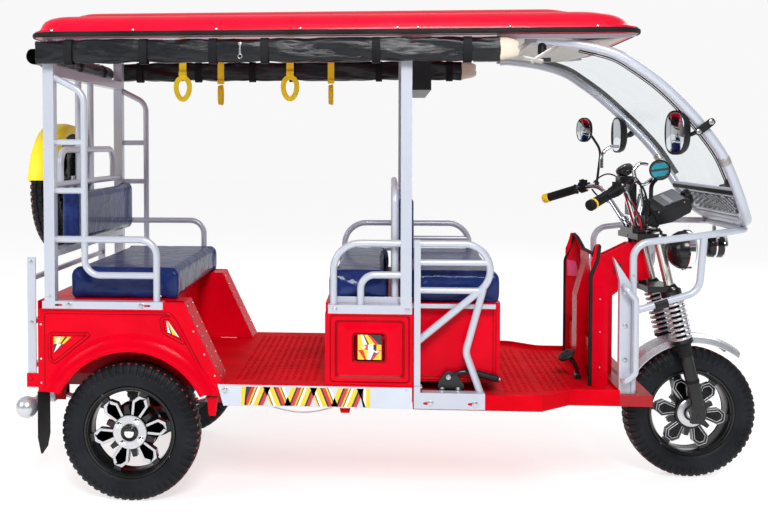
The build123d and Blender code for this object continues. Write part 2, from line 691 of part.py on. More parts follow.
# --- Windshield ------------------------------------------------------------------------------
# Each row of the side tube's middle line: place from the front axle, distance outside or inside
# of the half width at the top, and drop below the roof's edge as a share of the whole drop.
screen_rows = [(-637, 0, 0.0), (-507, 30, 0.027), (-399, 52, 0.077), (-320, 60, 0.154), (-238, 60, 0.252),
               (-152, 45, 0.381), (-89, 22, 0.487), (-23, -5, 0.618), (31, -42, 0.77), (83, -95, 0.926),
               (122, -195, 1.0)]
screen_half = post_half - 47
screen_top = beam_top - 17.3
screen_drop = 633.7
screen_tube = 34
cross_tube = 22
screen_curve = [(ahead(row[0]), screen_half + row[1], screen_top - row[2] * screen_drop) for row in screen_rows]
screen_foot = screen_top - screen_drop
cross_x = ahead(46)
cross_z = screen_foot + 114
cross_half = screen_half - 64
foot_x = ahead(122)
nose_half_width = 215
nose_x = ahead(129)
bumper_z = screen_foot - 30
def screen_side(sign, diameter):
    """The windshield's side tube, from its turn under the roof to the foot."""
    line = [(ahead(-683), sign * screen_half, screen_top)]
    return round_tube(line + [(x, sign * y, z) for x, y, z in screen_curve[1:]], 60, diameter)


with BuildPart() as windshield_frame:
    for sign in sides.values():
        add(screen_side(sign, screen_tube))
        add(block((nose_x - 11, nose_x + 11), (sign * 140, sign * 170), (bumper_z + guard / 2 + fit, screen_foot)))
    add(round_tube([(cross_x, -cross_half, cross_z), (cross_x, cross_half, cross_z)], 0, cross_tube))
    add(round_tube([(foot_x, 195 - screen_half, screen_foot), (foot_x, screen_half - 195, screen_foot)], 0, cross_tube))
windshield_frame.part.label = "windshield_frame"
export_step(windshield_frame.part, "parts/windshield_frame.step")

with BuildPart() as windshield_glass:
    with BuildSketch(Plane.XZ.offset(-post_half)):
        with BuildLine():
            outside = Spline(*[(x, z) for x, y, z in screen_curve[:-1]])
            inside = Spline(*[(x - sheet, z - sheet) for x, y, z in screen_curve[:-1]])
            Line(outside @ 0, inside @ 0)
            Line(outside @ 1, inside @ 1)
        make_face()
    extrude(amount=2 * post_half)
    with BuildSketch(Plane.YZ.offset(ahead(-683))):
        Polygon(*[(y, z) for x, y, z in screen_curve], *[(-y, z) for x, y, z in reversed(screen_curve)], align=None)
        with Locations((0, screen_foot - 70)):
            Rectangle(2 * post_half, 2 * (cross_z + cross_tube / 2 + fit - screen_foot + 70), mode=Mode.SUBTRACT)
    extrude(amount=post_half * 2, mode=Mode.INTERSECT)
    add(screen_side(1, screen_tube + 3 * fit), mode=Mode.SUBTRACT)
    split(bisect_by=Plane.XZ, keep=Keep.BOTTOM)
    mirror(about=Plane.XZ)
windshield_glass.part.label = "windshield_glass"
export_step(windshield_glass.part, "parts/windshield_glass.step")

# The lower screen hangs between the two cross tubes, narrower at its foot.
lower_run = Vector(foot_x - cross_x, 0, screen_foot - cross_z)
lower_tall = lower_run.length - cross_tube - 2 * fit
with BuildPart() as front_screen:
    with BuildSketch(Plane(origin=((cross_x + foot_x) / 2, 0, (cross_z + screen_foot) / 2), x_dir=(0, 1, 0),
                           z_dir=(-lower_run.Z, 0, lower_run.X))):
        with BuildLine():
            Polyline((90 - screen_half, lower_tall / 2), (215 - screen_half, -lower_tall / 2),
                     (screen_half - 215, -lower_tall / 2), (screen_half - 90, lower_tall / 2),
                     (90 - screen_half, lower_tall / 2))
        make_face()
    extrude(amount=2, both=True)
front_screen.part.label = "front_screen"
export_step(front_screen.part, "parts/front_screen.step")


def mirror_head(plane, wide, tall, deep):
    """An oval shell whose back narrows, its face on the plane."""
    with BuildPart() as head:
        with BuildSketch(plane):
            Ellipse(wide, tall)
        with BuildSketch(plane.offset(deep)):
            Ellipse(0.72 * wide, 0.72 * tall)
        loft()
    return head.part


# Mirrors beside the windshield: an oval head, a short arm and a strap bolted to each tube.
mirror_x = ahead(-188)
mirror_z = screen_foot + 318
mirror_half = screen_half + 10
mirror_tall = 69
mirror_wide = 47
mirror_deep = 24
strap_in = screen_half + 46.8
strap_thick = 6
mirror_turns = {"right": (-0.8, -0.6), "left": (-0.88, -0.475)}
with BuildPart() as mirrors:
    for side, sign in sides.items():
        face_x, face_y = mirror_turns[side]
        add(mirror_head(Plane(origin=(mirror_x, sign * mirror_half, mirror_z), x_dir=(-face_y, face_x, 0.1),
                              z_dir=(-face_x, -face_y, 0)), mirror_wide, mirror_tall, mirror_deep))
        add(round_tube([(mirror_x + 8, sign * (mirror_half + 2), mirror_z - 4),
                        (ahead(-112), sign * (strap_in + strap_thick / 2), mirror_z + 6)], 0, 13))
        with BuildSketch(Plane.XZ.offset(-sign * strap_in)):
            with Locations(Location((ahead(-98), mirror_z + 19), 39)):
                SlotOverall(76, 26)
        extrude(amount=-sign * strap_thick)
mirrors.part.label = "mirrors"
export_step(mirrors.part, "parts/mirrors.step")

# --- Front guard, head frame and leg shield ---------------------------------------------------
guard_y = nose_half - 42
guard_post = ahead(-297)
with BuildPart() as front_guard:
    rail = [(guard_post, -guard_y, platform_top), (guard_post, -guard_y, bumper_z - 44), (ahead(7), 23 - guard_y, bumper_z - 6),
            (nose_x, -nose_half_width, bumper_z), (nose_x, nose_half_width, bumper_z), (ahead(7), guard_y - 23, bumper_z - 6),
            (guard_post, guard_y, bumper_z - 44), (guard_post, guard_y, platform_top)]
    add(round_tube(rail, (60, 100, 35, 35, 100, 60), guard))
    for sign in sides.values():
        loop = [(ahead(-48), sign * (guard_y - 19), bumper_z - 12), (ahead(-63), sign * (guard_y - 21), 760),
                (guard_post, sign * guard_y, 690)]
        add(round_tube(loop, 60, guard))
        channel = [(ahead(-346), platform_top), (ahead(-346), 800), (ahead(-368), 883), (ahead(-336), 835),
                   (ahead(-307), 790), (ahead(-307), platform_top)]
        add(side_plate(channel, sign * (guard_y + 14), -sign * 28))
        add(block((ahead(-309), guard_post), (sign * (guard_y - 8), sign * (guard_y + 8)), (platform_top, platform_top + 60)))
        add(block((ahead(-309), guard_post), (sign * (guard_y - 8), sign * (guard_y + 8)), (700, 760)))
        c_guard = [(ahead(-333), sign * (guard_y + 14), 780), (ahead(-333), sign * (guard_y + 50), 780),
                   (ahead(-298), sign * (guard_y + 50), 740), (ahead(-298), sign * (guard_y + 50), 480),
                   (ahead(-333), sign * (guard_y + 50), 449), (ahead(-333), sign * (guard_y + 14), 449)]
        add(round_tube(c_guard, 18, 22))
front_guard.part.label = "front_guard"
export_step(front_guard.part, "parts/front_guard.step")

lamp_radius = 50
lamp_z = bumper_z - guard / 2 - fit - lamp_radius - 26
with BuildPart() as nose_lamp:
    with BuildSketch(Plane.YZ.offset(ahead(84))):
        with Locations((100, lamp_z)):
            Circle(lamp_radius - 12)
    with BuildSketch(Plane.YZ.offset(ahead(132))):
        with Locations((100, lamp_z)):
            Circle(lamp_radius)
    loft()
    with BuildSketch(Plane.YZ.offset(ahead(132))):
        with Locations((100, lamp_z)):
            Circle(lamp_radius)
    extrude(amount=30)
    add(block((ahead(118), ahead(124)), (84, 116), (lamp_z, bumper_z - guard / 2 - fit)))
    add(block((ahead(118), ahead(140)), (84, 116), (bumper_z - guard / 2 - fit - 5, bumper_z - guard / 2 - fit)))
nose_lamp.part.label = "nose_lamp"
export_step(nose_lamp.part, "parts/nose_lamp.step")

head_tube = 62
head_length = 150
stem_radius = 17
spine = ahead(-323)
spine_side = 50
gusset = 5
with BuildPart() as head_frame:
    axis_plane = Plane(origin=(head_top.X, 0, head_top.Z), z_dir=head_axis_dir)
    with BuildSketch(axis_plane.offset(-head_length)):
        Circle(head_tube / 2)
    extrude(amount=head_length)
    add(flat_tube([(ahead(-200), 0, 812), (spine, 0, 790), (spine, 0, platform_top)], 50, (0, 1, 0), spine_side, spine_side))
    for sign in sides.values():
        add(side_plate([(spine - 25, 700), (spine - 25, 850), (ahead(-240), 904), (ahead(-206), 890), (ahead(-176), 768),
                        (ahead(-230), 756), (spine + 25, 700)], sign * spine_side / 2, sign * gusset))
    with BuildSketch(axis_plane.offset(-head_length)):
        Circle(stem_radius)
    extrude(amount=head_length, mode=Mode.SUBTRACT)
head_frame.part.label = "head_frame"
export_step(head_frame.part, "parts/head_frame.step")

shield_half = 265
shield_toe = shield_half - 20
shield_bend = driver_floor_top + 377
shield_top = driver_floor_top + 514
cover_rear = ahead(-437)
cover_half = 46
cover_root = 88


def shield_form(inset, rear):
    """The leg shield's plan filled in and drawn in by inset; its front leans back above the bend."""
    with BuildPart() as form:
        with BuildSketch(Plane.XY.offset(driver_floor_top)) as plan:
            Polygon((rear, inset - shield_half), (shield_front - inset, inset - shield_toe),
                    (shield_front - inset, shield_toe - inset), (rear, shield_half - inset), align=None)
        extrude(amount=shield_bend - driver_floor_top)
        with BuildSketch(Plane.XY.offset(shield_bend)):
            add(plan.sketch)
        with BuildSketch(Plane.XY.offset(shield_top)):
            Polygon((rear, inset - shield_half), (shield_front - 36 - inset, inset - shield_toe - 4),
                    (shield_front - 36 - inset, shield_toe + 4 - inset), (rear, shield_half - inset), align=None)
        loft()
    return form.part


def column_cover(inset, front):
    """The cover over the steering column, a ridge behind the shield that fades out towards its top."""
    with BuildPart() as ridge:
        with BuildSketch(Plane.XY.offset(driver_floor_top)) as foot:
            Polygon((front, inset - cover_root), (cover_rear + inset, inset - cover_half),
                    (cover_rear + inset, cover_half - inset), (front, cover_root - inset), align=None)
        extrude(amount=297)
        with BuildSketch(Plane.XY.offset(driver_floor_top + 297)):
            add(foot.sketch)
        with BuildSketch(Plane.XY.offset(driver_floor_top + 462)):
            Polygon((front, inset - cover_root), (cover_rear + 44 + inset, inset - cover_half),
                    (cover_rear + 44 + inset, cover_half - inset), (front, cover_root - inset), align=None)
        loft()
    return ridge.part


with BuildPart() as leg_shield:
    add(shield_form(0, shield_rear))
    add(shield_form(sheet, shield_rear - 10), mode=Mode.SUBTRACT)
    add(column_cover(0, shield_front - 36 - sheet))
    add(column_cover(sheet, shield_front + 10), mode=Mode.SUBTRACT)
    with BuildSketch(Plane.YZ.offset(cover_rear - 40)):
        Polygon((-400, 1000), (-shield_half - 5, 770), (-250, shield_top), (-180, 905), (-90, 865), (90, 865), (180, 905),
                (250, shield_top), (shield_half + 5, 770), (400, 1000), align=None)
    extrude(amount=200, mode=Mode.SUBTRACT)
leg_shield.part.label = "leg_shield"
export_step(leg_shield.part, "parts/leg_shield.step")

with BuildPart() as driver_controls:
    add(round_tube([(ahead(-443), -150, driver_floor_top), (ahead(-443), -150, driver_floor_top + 27),
                    (ahead(-507), -150, driver_floor_top + 91)], 15, 14))
    with BuildSketch(Plane((ahead(-508), -150, driver_floor_top + 91), z_dir=(-0.5, 0, 0.87))):
        Ellipse(24, 30)
    extrude(amount=12)
    lever_y = 54 - body_half
    add(round_tube([(bench_step + 132, lever_y, driver_floor_top), (bench_step + 132, lever_y, driver_floor_top + 67),
                    (bench_step + 302, lever_y, driver_floor_top + 57)], 14, 24))
driver_controls.part.label = "driver_controls"
export_step(driver_controls.part, "parts/driver_controls.step")

# --- Rear: mudflaps, bumper, spare wheel and the folding carrier -------------------------------
flap_thick = 6
with BuildPart() as mudflaps:
    for sign in sides.values():
        with BuildSketch(Plane.YZ.offset(body_rear - flap_thick)):
            Polygon((sign * (body_half - 116), body_bottom), (sign * (body_half - 116), axle_z - 35),
                    (sign * (body_half - 90), axle_z - 75), (sign * (body_half - 30), axle_z - 87),
                    (sign * (body_half + 2), axle_z - 20), (sign * (body_half + 2), body_bottom), align=None)
        extrude(amount=flap_thick)
mudflaps.part.label = "mudflaps"
export_step(mudflaps.part, "parts/mudflaps.step")

bumper_x = body_rear - 59
bumper_bar_z = 330
ball_y = body_half - 36
ball_radius = 40
bumper_half = rail_half
with BuildPart() as rear_bumper:
    with BuildSketch(Plane.XZ):
        with Locations((bumper_x, bumper_bar_z)):
            Circle(15)
    extrude(amount=ball_y, both=True)
    for sign in sides.values():
        with Locations((bumper_x, sign * ball_y, bumper_bar_z)):
            Sphere(ball_radius)
        add(block((bumper_x, rail_rear - fit), (sign * (rear_rail_y - bumper_half), sign * (rear_rail_y + bumper_half)),
                  (320, 340)))
        add(block((body_rear - 17, rail_rear - fit),
                  (sign * (rear_rail_y - bumper_half), sign * (rear_rail_y + bumper_half)), (320, 395)))
rear_bumper.part.label = "rear_bumper"
export_step(rear_bumper.part, "parts/rear_bumper.step")

spare_z = 1110
spare_x = post_rear - 115
spare_place = Location((spare_x, 0, spare_z), (0, 0, 90))
with BuildPart() as spare_wheel:
    add(tyre_ring().moved(spare_place))
    add(wheel_disc(rear_spindle + 2 * bearing_gap, 1, rear_loop).moved(spare_place))
spare_wheel.part.label = "spare_wheel"
export_step(spare_wheel.part, "parts/spare_wheel.step")

# A hood of cloth over the spare tyre's upper part, open towards the vehicle.
hood_thick = 3
hood_gap = fit
hood_in = rim_flange + 24
with BuildPart() as spare_cover:
    with BuildSketch(Plane.XY):
        inner_half = tyre_width / 2 + hood_gap
        Polygon((hood_in, inner_half), (hood_in, inner_half + hood_thick),
                (tyre_radius - 10, inner_half + hood_thick), (tyre_radius + hood_gap + hood_thick, tread_half + 10),
                (tyre_radius + hood_gap + hood_thick, -tread_half + 8), (tyre_radius + hood_gap, -tread_half + 8),
                (tyre_radius + hood_gap, tread_half), (tyre_radius - 14, inner_half), align=None)
    revolve(axis=Axis.Y, revolution_arc=150)
spare_cover.part = spare_cover.part.rotate(Axis.Y, -165).moved(spare_place)
spare_cover.part.label = "spare_cover"
export_step(spare_cover.part, "parts/spare_cover.step")

bracket_x = post_rear - guard / 2 - fit
with BuildPart() as spare_bracket:
    add(block((bracket_x - 8, bracket_x), (-160, 60), (spare_z - 50, spare_z + 50)))
    with BuildSketch(Plane.YZ.offset(spare_x + hub_length / 2 + fit)):
        with Locations((0, spare_z)):
            Circle(40)
    extrude(amount=bracket_x - 4 - (spare_x + hub_length / 2 + fit))
    with BuildSketch(Plane.YZ.offset(spare_x - hub_length / 2 + 4)):
        with Locations((0, spare_z)):
            Circle(rear_spindle / 2)
    extrude(amount=hub_length)
spare_bracket.part.label = "spare_bracket"
export_step(spare_bracket.part, "parts/spare_bracket.step")

with BuildPart() as tail_lamps:
    for sign in sides.values():
        add(block((body_rear - sheet - 14, body_rear - sheet - fit), (sign * (body_half - 156), sign * (body_half - 56)),
                  (560, 610)))
tail_lamps.part.label = "tail_lamps"
export_step(tail_lamps.part, "parts/tail_lamps.step")

# The carrier stands folded up on its stop and turns down about the bolts at its foot.
carrier_x = body_rear - 36
carrier_z = 437
carrier_top = 876
carrier_bar = 6
pivot = 5
bracket_y = ball_y + carrier_bar + fit
with BuildPart() as luggage_carrier:
    for sign in sides.values():
        add(block((carrier_x - 15, carrier_x + 15), (sign * ball_y, sign * (ball_y + carrier_bar)),
                  (carrier_z - 20, carrier_top)))
    for height in (800, 640, 480):
        add(block((carrier_x - 8, carrier_x + 8), (-ball_y - 1, ball_y + 1), (height - 8, height + 8)))
    with BuildSketch(Plane.XZ):
        with Locations((carrier_x, carrier_z)):
            Circle(pivot)
    extrude(amount=post_half, both=True, mode=Mode.SUBTRACT)
luggage_carrier.part.label = "luggage_carrier"
export_step(luggage_carrier.part, "parts/luggage_carrier.step")

with BuildPart() as carrier_brackets:
    for sign in sides.values():
        add(block((carrier_x - 18, body_rear - sheet - fit), (sign * bracket_y, sign * (bracket_y + 5.7)),
                  (carrier_z - 30, carrier_z + 20)))
        add(block((body_rear - sheet - 6, body_rear - sheet - fit), (sign * (bracket_y - 16.3), sign * (bracket_y + 5.7)),
                  (carrier_z - 30, carrier_z + 20)))
        with BuildSketch(Plane.XZ.offset(-sign * (ball_y - carrier_bar))):
            with Locations((carrier_x, carrier_z)):
                Circle(pivot - bearing_gap)
        extrude(amount=-sign * 4 * carrier_bar)
carrier_brackets.part.label = "carrier_brackets"
export_step(carrier_brackets.part, "parts/carrier_brackets.step")

# --- Steered parts, built straight and then turned to the resting angle ------------------------
fork_half = 98
fork_lead = 67
stanchion = 34
slider = 50
collar = 78
collar_tall = 12
spring_foot = 548
spring_head = 712
fender_half = 66
lug_z = spring_foot - 29


def leg_point(sign, height):
    """The middle of a fork leg at a height: the legs run parallel to the steering axis."""
    drop = (head_top.Z - height) * math.tan(rake)
    return (head_top.X + fork_lead + drop, sign * fork_half, height)


with BuildPart() as fork:
    for sign in sides.values():
        add(round_tube([leg_point(sign, 930), leg_point(sign, spring_foot + 2)], 0, stanchion))
        add(round_tube([leg_point(sign, spring_foot), leg_point(sign, 290)], 0, slider))
        add(round_tube([leg_point(sign, spring_foot), leg_point(sign, spring_foot - collar_tall)], 0, collar))
        add(round_tube([leg_point(sign, spring_head + 18), leg_point(sign, spring_head)], 0, collar))
        with BuildSketch(Plane.XZ.offset(-sign * (fork_half - 8))):
            with Locations((leg_point(sign, lug_z)[0], lug_z)):
                Circle(8)
        extrude(amount=sign * (fork_half - 8 - fender_half - fit))
        add(block((front_axle_x - 25, front_axle_x + 25), (sign * (fork_half - 12), sign * (fork_half + 12)),
                  (axle_z - 25, axle_z + 60)))
    add(block((ahead(-238), ahead(-128)), (-120, 120), (921, 943)))
    add(block((ahead(-198), ahead(-88)), (-120, 120), (724, 746)))
    add(block((ahead(-243), ahead(-203)), (-75, 75), (943, 962)))
    with BuildSketch(axis_plane.offset(-170)):
        Circle(stem_radius - bearing_gap)
    extrude(amount=200)
    with BuildSketch(Plane.XZ):
        with Locations((front_axle_x, axle_z)):
            Circle(front_spindle / 2)
    extrude(amount=fork_half + 14, both=True)
fork.part = fork.part.rotate(steering_axis, steer_rest)
fork.part.label = "fork"
export_step(fork.part, "parts/fork.step")

# Each spring is one sleeve whose ridges stand where its turns lie.
spring_wire = 7
spring_radius = 36
spring_turns = 9
with BuildPart() as fork_springs:
    for sign in sides.values():
        foot = Vector(*leg_point(sign, spring_foot)) + head_axis_dir * fit
        tall = (spring_head - spring_foot) / head_axis_dir.Z - 2 * fit
        pitch = tall / spring_turns
        ridges = [(spring_radius - spring_wire, 0)]
        for turn in range(spring_turns):
            ridges += [(spring_radius, (turn + 0.5) * pitch), (spring_radius - spring_wire, (turn + 1) * pitch)]
        with BuildSketch(Plane(origin=foot, x_dir=(0, 1, 0), z_dir=(head_axis_dir.Z, 0, -head_axis_dir.X))):
            Polygon((stanchion / 2 + 5, 0), *ridges, (stanchion / 2 + 5, tall), align=None)
        revolve(axis=Axis(tuple(foot), tuple(head_axis_dir)))
fork_springs.part = fork_springs.part.rotate(steering_axis, steer_rest)
fork_springs.part.label = "fork_springs"
export_step(fork_springs.part, "parts/fork_springs.step")

fender_radius = tyre_radius + 53
with BuildPart() as front_fender:
    with BuildSketch(Plane.XY):
        Polygon((fender_radius - 28, -fender_half), (fender_radius - 9, -50), (fender_radius, -18), (fender_radius, 18),
                (fender_radius - 9, 50), (fender_radius - 28, fender_half), (fender_radius - 31, fender_half - 1), (fender_radius - 12, 48),
                (fender_radius - sheet, 17), (fender_radius - sheet, -17), (fender_radius - 12, -48),
                (fender_radius - 31, 1 - fender_half), align=None)
    revolve(axis=Axis.Y, revolution_arc=90)
front_fender.part = front_fender.part.rotate(Axis.Y, -142).moved(Location((front_axle_x, 0, axle_z)))
front_fender.part = front_fender.part.rotate(steering_axis, steer_rest)
front_fender.part.label = "front_fender"
export_step(front_fender.part, "parts/front_fender.step")

bar = 22
grip = 34
riser_x = ahead(-223)
riser_z = 962 + bar / 2 + fit
with BuildPart() as handlebar:
    for sign in sides.values():
        riser = [(riser_x, sign * 60, riser_z), (ahead(-298), sign * 150, 1118), (ahead(-348), sign * 225, 1112),
                 (ahead(-483), sign * 350, 1058)]
        add(round_tube(riser, 24, bar))
        add(round_tube([(ahead(-370), sign * 245.4, 1103.2), (ahead(-483), sign * 350, 1058)], 0, grip))
    add(round_tube([(riser_x, -66, riser_z), (riser_x, 66, riser_z)], 0, bar))
handlebar.part = handlebar.part.rotate(steering_axis, steer_rest)
handlebar.part.label = "handlebar"
export_step(handlebar.part, "parts/handlebar.step")

with BuildPart() as console:
    add(block((ahead(-178), ahead(2)), (-70, 70), (1016, 1076)))
    add(block((ahead(-178), ahead(-160)), (-20, 20), (943 + fit, 1016)))
console.part = console.part.rotate(steering_axis, steer_rest)
console.part.label = "console"
export_step(console.part, "parts/console.step")

with BuildPart() as handlebar_mirrors:
    left_stem = [(ahead(-310), 168, 1117.6 + bar / 2 + fit), (ahead(-298), 154, 1262), (ahead(-338), 154, 1322)]
    add(round_tube(left_stem, 18, 9))
    add(mirror_head(Plane(origin=(ahead(-370), 150, 1343), x_dir=(-0.66, 0.75, 0), z_dir=(0.75, 0.66, 0)), 34, 43, 26))
    add(round_tube([(ahead(-165), -50, 1076 + fit), (ahead(-165), -50, 1100), (ahead(-158), -122, 1176)], 14, 10))
    add(mirror_head(Plane(origin=(ahead(-162), -137, 1184), x_dir=(-0.89, 0.45, 0), z_dir=(0.45, 0.89, 0)), 32, 32, 20))
handlebar_mirrors.part = handlebar_mirrors.part.rotate(steering_axis, steer_rest)
handlebar_mirrors.part.label = "handlebar_mirrors"
export_step(handlebar_mirrors.part, "parts/handlebar_mirrors.step")

headlamp_radius = 62
lamp_y = -158
lamp_height = 875
with BuildPart() as headlamps:
    with BuildSketch(Plane.YZ.offset(ahead(-137))):
        with Locations((lamp_y, lamp_height)):
            Circle(headlamp_radius - 20)
    with BuildSketch(Plane.YZ.offset(ahead(-83))):
        with Locations((lamp_y, lamp_height)):
            Circle(headlamp_radius - 4)
    loft()
    with BuildSketch(Plane.YZ.offset(ahead(-83))):
        with Locations((lamp_y, lamp_height)):
            Circle(headlamp_radius)
    extrude(amount=44)
    add(block((ahead(-150), ahead(-100)), (lamp_y - 10, -fork_half - stanchion / 2 - fit),
              (lamp_height - 8, lamp_height + 8)))
headlamps.part = headlamps.part.rotate(steering_axis, steer_rest)
headlamps.part.label = "headlamps"
export_step(headlamps.part, "parts/headlamps.step")
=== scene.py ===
import json
import math

import bmesh
import bpy
from mathutils import Matrix, Vector, noise


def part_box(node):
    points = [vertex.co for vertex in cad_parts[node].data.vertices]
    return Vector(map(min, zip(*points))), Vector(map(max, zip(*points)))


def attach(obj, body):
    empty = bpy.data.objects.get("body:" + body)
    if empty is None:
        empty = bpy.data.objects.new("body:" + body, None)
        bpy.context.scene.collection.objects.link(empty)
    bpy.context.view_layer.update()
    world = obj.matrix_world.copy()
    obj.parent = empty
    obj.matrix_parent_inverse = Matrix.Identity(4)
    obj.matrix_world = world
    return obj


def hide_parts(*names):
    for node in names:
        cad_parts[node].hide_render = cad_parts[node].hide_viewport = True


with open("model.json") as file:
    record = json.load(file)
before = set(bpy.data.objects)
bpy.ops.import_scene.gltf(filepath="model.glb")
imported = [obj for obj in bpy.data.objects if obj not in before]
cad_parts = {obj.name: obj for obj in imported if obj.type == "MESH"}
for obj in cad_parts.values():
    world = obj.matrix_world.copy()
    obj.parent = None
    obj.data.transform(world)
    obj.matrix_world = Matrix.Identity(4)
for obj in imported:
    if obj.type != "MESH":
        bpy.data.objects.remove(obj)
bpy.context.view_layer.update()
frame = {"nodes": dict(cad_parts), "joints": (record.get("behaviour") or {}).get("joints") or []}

nodes = frame["nodes"]
MM = 0.001
AXLE_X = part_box("rear_tyre_right")[0].lerp(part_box("rear_tyre_right")[1], 0.5).x
SIDES = {"right": -1, "left": 1}
UP, LEFT, AHEAD = Vector((0, 0, 1)), Vector((0, 1, 0)), Vector((1, 0, 0))


def at(x, y, z):
    """A point given in millimetres ahead of the rear axle, to the left and up, in metres."""
    return Vector((AXLE_X + x / 1000, y / 1000, z / 1000))


def spots(*points):
    """Several points given as at() takes them."""
    return [at(*point) for point in points]


def upright(y, points):
    """Points of a plane along the vehicle at y, given as (x, z)."""
    return [at(x, y, z) for x, z in points]


def wheel_turn(degrees):
    """The direction at an angle in a wheel's plane, and the one across it."""
    angle = math.radians(degrees)
    return Vector((math.cos(angle), 0, math.sin(angle))), Vector((-math.sin(angle), 0, math.cos(angle)))


# --- Materials ---------------------------------------------------------------------------
def new_material(name):
    """An empty node material, its node tree and its shader."""
    made = bpy.data.materials.new(name)
    made.use_nodes = True
    return made, made.node_tree, made.node_tree.nodes["Principled BSDF"]


def fill(tree, made, inputs):
    """Sets a node's inputs: a socket is linked, and anything else is a constant."""
    for name, value in inputs.items():
        if isinstance(value, bpy.types.NodeSocket):
            tree.links.new(value, made.inputs[name])
        else:
            made.inputs[name].default_value = value


def node(tree, kind, inputs, **settings):
    """A shader node with its settings and inputs."""
    made = tree.nodes.new("ShaderNode" + kind)
    for name, value in settings.items():
        setattr(made, name, value)
    fill(tree, made, inputs)
    return made


def coordinates(tree, scale=(1, 1, 1)):
    """Object coordinates, stretched by scale along each axis."""
    source = tree.nodes.new("ShaderNodeTexCoord").outputs["Object"]
    return node(tree, "Mapping", {"Scale": scale, "Vector": source}).outputs["Vector"]


def noise_node(tree, vector, scale, detail=3, rough=0.5, output="Fac"):
    """A noise texture over a vector."""
    return node(tree, "TexNoise", {"Scale": scale, "Detail": detail, "Roughness": rough,
                                   "Vector": vector}).outputs[output]


def ramp(tree, value, stops):
    """A colour ramp over a value: stops are (place, colour)."""
    made = node(tree, "ValToRGB", {"Fac": value})
    elements = made.color_ramp.elements
    while len(elements) < len(stops):
        elements.new(0.5)
    for element, (place, colour) in zip(elements, stops):
        element.position = place
        element.color = (*colour, 1)
    return made.outputs["Color"]


def span(tree, value, low, high):
    """A value from 0 to 1 spread over low to high."""
    return node(tree, "MapRange", {"To Min": low, "To Max": high, "Value": value}).outputs["Result"]


def bump(tree, shader, height, strength, distance):
    """Bump from a height, chained after any bump the shader already has."""
    made = node(tree, "Bump", {"Strength": strength, "Distance": distance, "Height": height})
    if shader.inputs["Normal"].links:
        tree.links.new(shader.inputs["Normal"].links[0].from_socket, made.inputs["Normal"])
    tree.links.new(made.outputs["Normal"], shader.inputs["Normal"])


def shades(colour, amount):
    """A darker and a lighter form of a colour."""
    dark = tuple(max(0.0, c * (1 - amount)) for c in colour)
    light = tuple(min(1.0, c * (1 + amount) + 0.01 * amount) for c in colour)
    return dark, light


def plain(name, colour, rough, metal=0.0, coat=0.0, variation=0.12, grain=60.0, bump_size=0.0003,
          bump_strength=0.15, rough_spread=0.08, ior=1.5, specular=0.5):
    """A surface with mottled colour, uneven roughness and fine grain."""
    made, tree, shader = new_material(name)
    vector = coordinates(tree)
    dark, light = shades(colour, variation)
    fine = noise_node(tree, vector, grain, 4, 0.6)
    fill(tree, shader, {
        "Base Color": ramp(tree, noise_node(tree, vector, 7, 4), [(0.35, dark), (0.65, light)]),
        "Roughness": span(tree, fine, max(0.02, rough - rough_spread), rough + rough_spread),
        "Metallic": metal, "Coat Weight": coat, "Coat Roughness": 0.06, "IOR": ior,
        "Specular IOR Level": specular})
    bump(tree, shader, noise_node(tree, vector, grain * 6, 2), bump_strength, bump_size)
    return made


# Paints
RED = plain("gloss_red_paint", (0.66, 0.0004, 0.012), 0.26, coat=0.04, variation=0.06, grain=25,
            bump_strength=0.05, specular=0.1, ior=1.25)
ROOF_RED = plain("roof_red_paint", (0.7, 0.001, 0.026), 0.3, coat=0.1, variation=0.06, grain=18,
                 bump_strength=0.06, specular=0.18)
FLOOR_RED = plain("red_floor_paint", (0.6, 0.001, 0.008), 0.5, variation=0.1, grain=30,
                  specular=0.08, ior=1.2)
DARK_RED = plain("chassis_red_paint", (0.38, 0.002, 0.006), 0.35, coat=0.2, variation=0.15, grain=30,
                 specular=0.25)
# Painted shade: a darker red laid along the foot of pressed ridges and on the steep walls of embossed panels,
# where shade falls
PAINTED_SHADE_RED = plain("shaded_red_paint", (0.3, 0.0004, 0.004), 0.35, variation=0.1, grain=40, specular=0.08)
POWDER = plain("silver_white_powder_coat", (0.5, 0.53, 0.61), 0.34, metal=0.2, coat=0.2,
               variation=0.02, grain=30, bump_strength=0.0, rough_spread=0.02)
SILL = plain("grey_blue_paint", (0.55, 0.6, 0.68), 0.33, metal=0.1, coat=0.3, variation=0.04, grain=90)
BLACK_PAINT = plain("black_gloss_paint", (0.006, 0.006, 0.007), 0.25, coat=0.25, variation=0.3, grain=50,
                    specular=0.3)
PINK = plain("pink_patch", (0.75, 0.02, 0.16), 0.3, coat=0.3, variation=0.05, grain=40)
# Metals
CHROME = plain("chrome_plate", (0.78, 0.8, 0.83), 0.06, metal=1.0, variation=0.04, grain=40,
               bump_strength=0.02, rough_spread=0.03)
SATIN = plain("satin_chrome", (0.62, 0.63, 0.67), 0.27, metal=0.65, variation=0.05, grain=60,
              bump_strength=0.02)
STEEL = plain("zinc_steel", (0.56, 0.57, 0.6), 0.3, metal=1.0, grain=120)
DULL_STEEL = plain("dull_steel", (0.36, 0.34, 0.33), 0.4, metal=0.5, variation=0.15, grain=80)
POLISHED = plain("polished_tube", (0.72, 0.7, 0.66), 0.16, metal=0.85, variation=0.06, grain=40,
                 bump_strength=0.02)
EMBOSSED = plain("embossed_steel", (0.12, 0.115, 0.15), 0.4, metal=0.5, variation=0.35, grain=70,
                 bump_strength=0.3)
ALLOY = plain("machined_alloy", (0.6, 0.61, 0.64), 0.34, metal=0.75, variation=0.05, grain=160,
              bump_strength=0.1)
MIRROR = plain("mirror_glass", (0.72, 0.76, 0.8), 0.04, metal=1.0, grain=12, bump_strength=0.01,
               rough_spread=0.02)
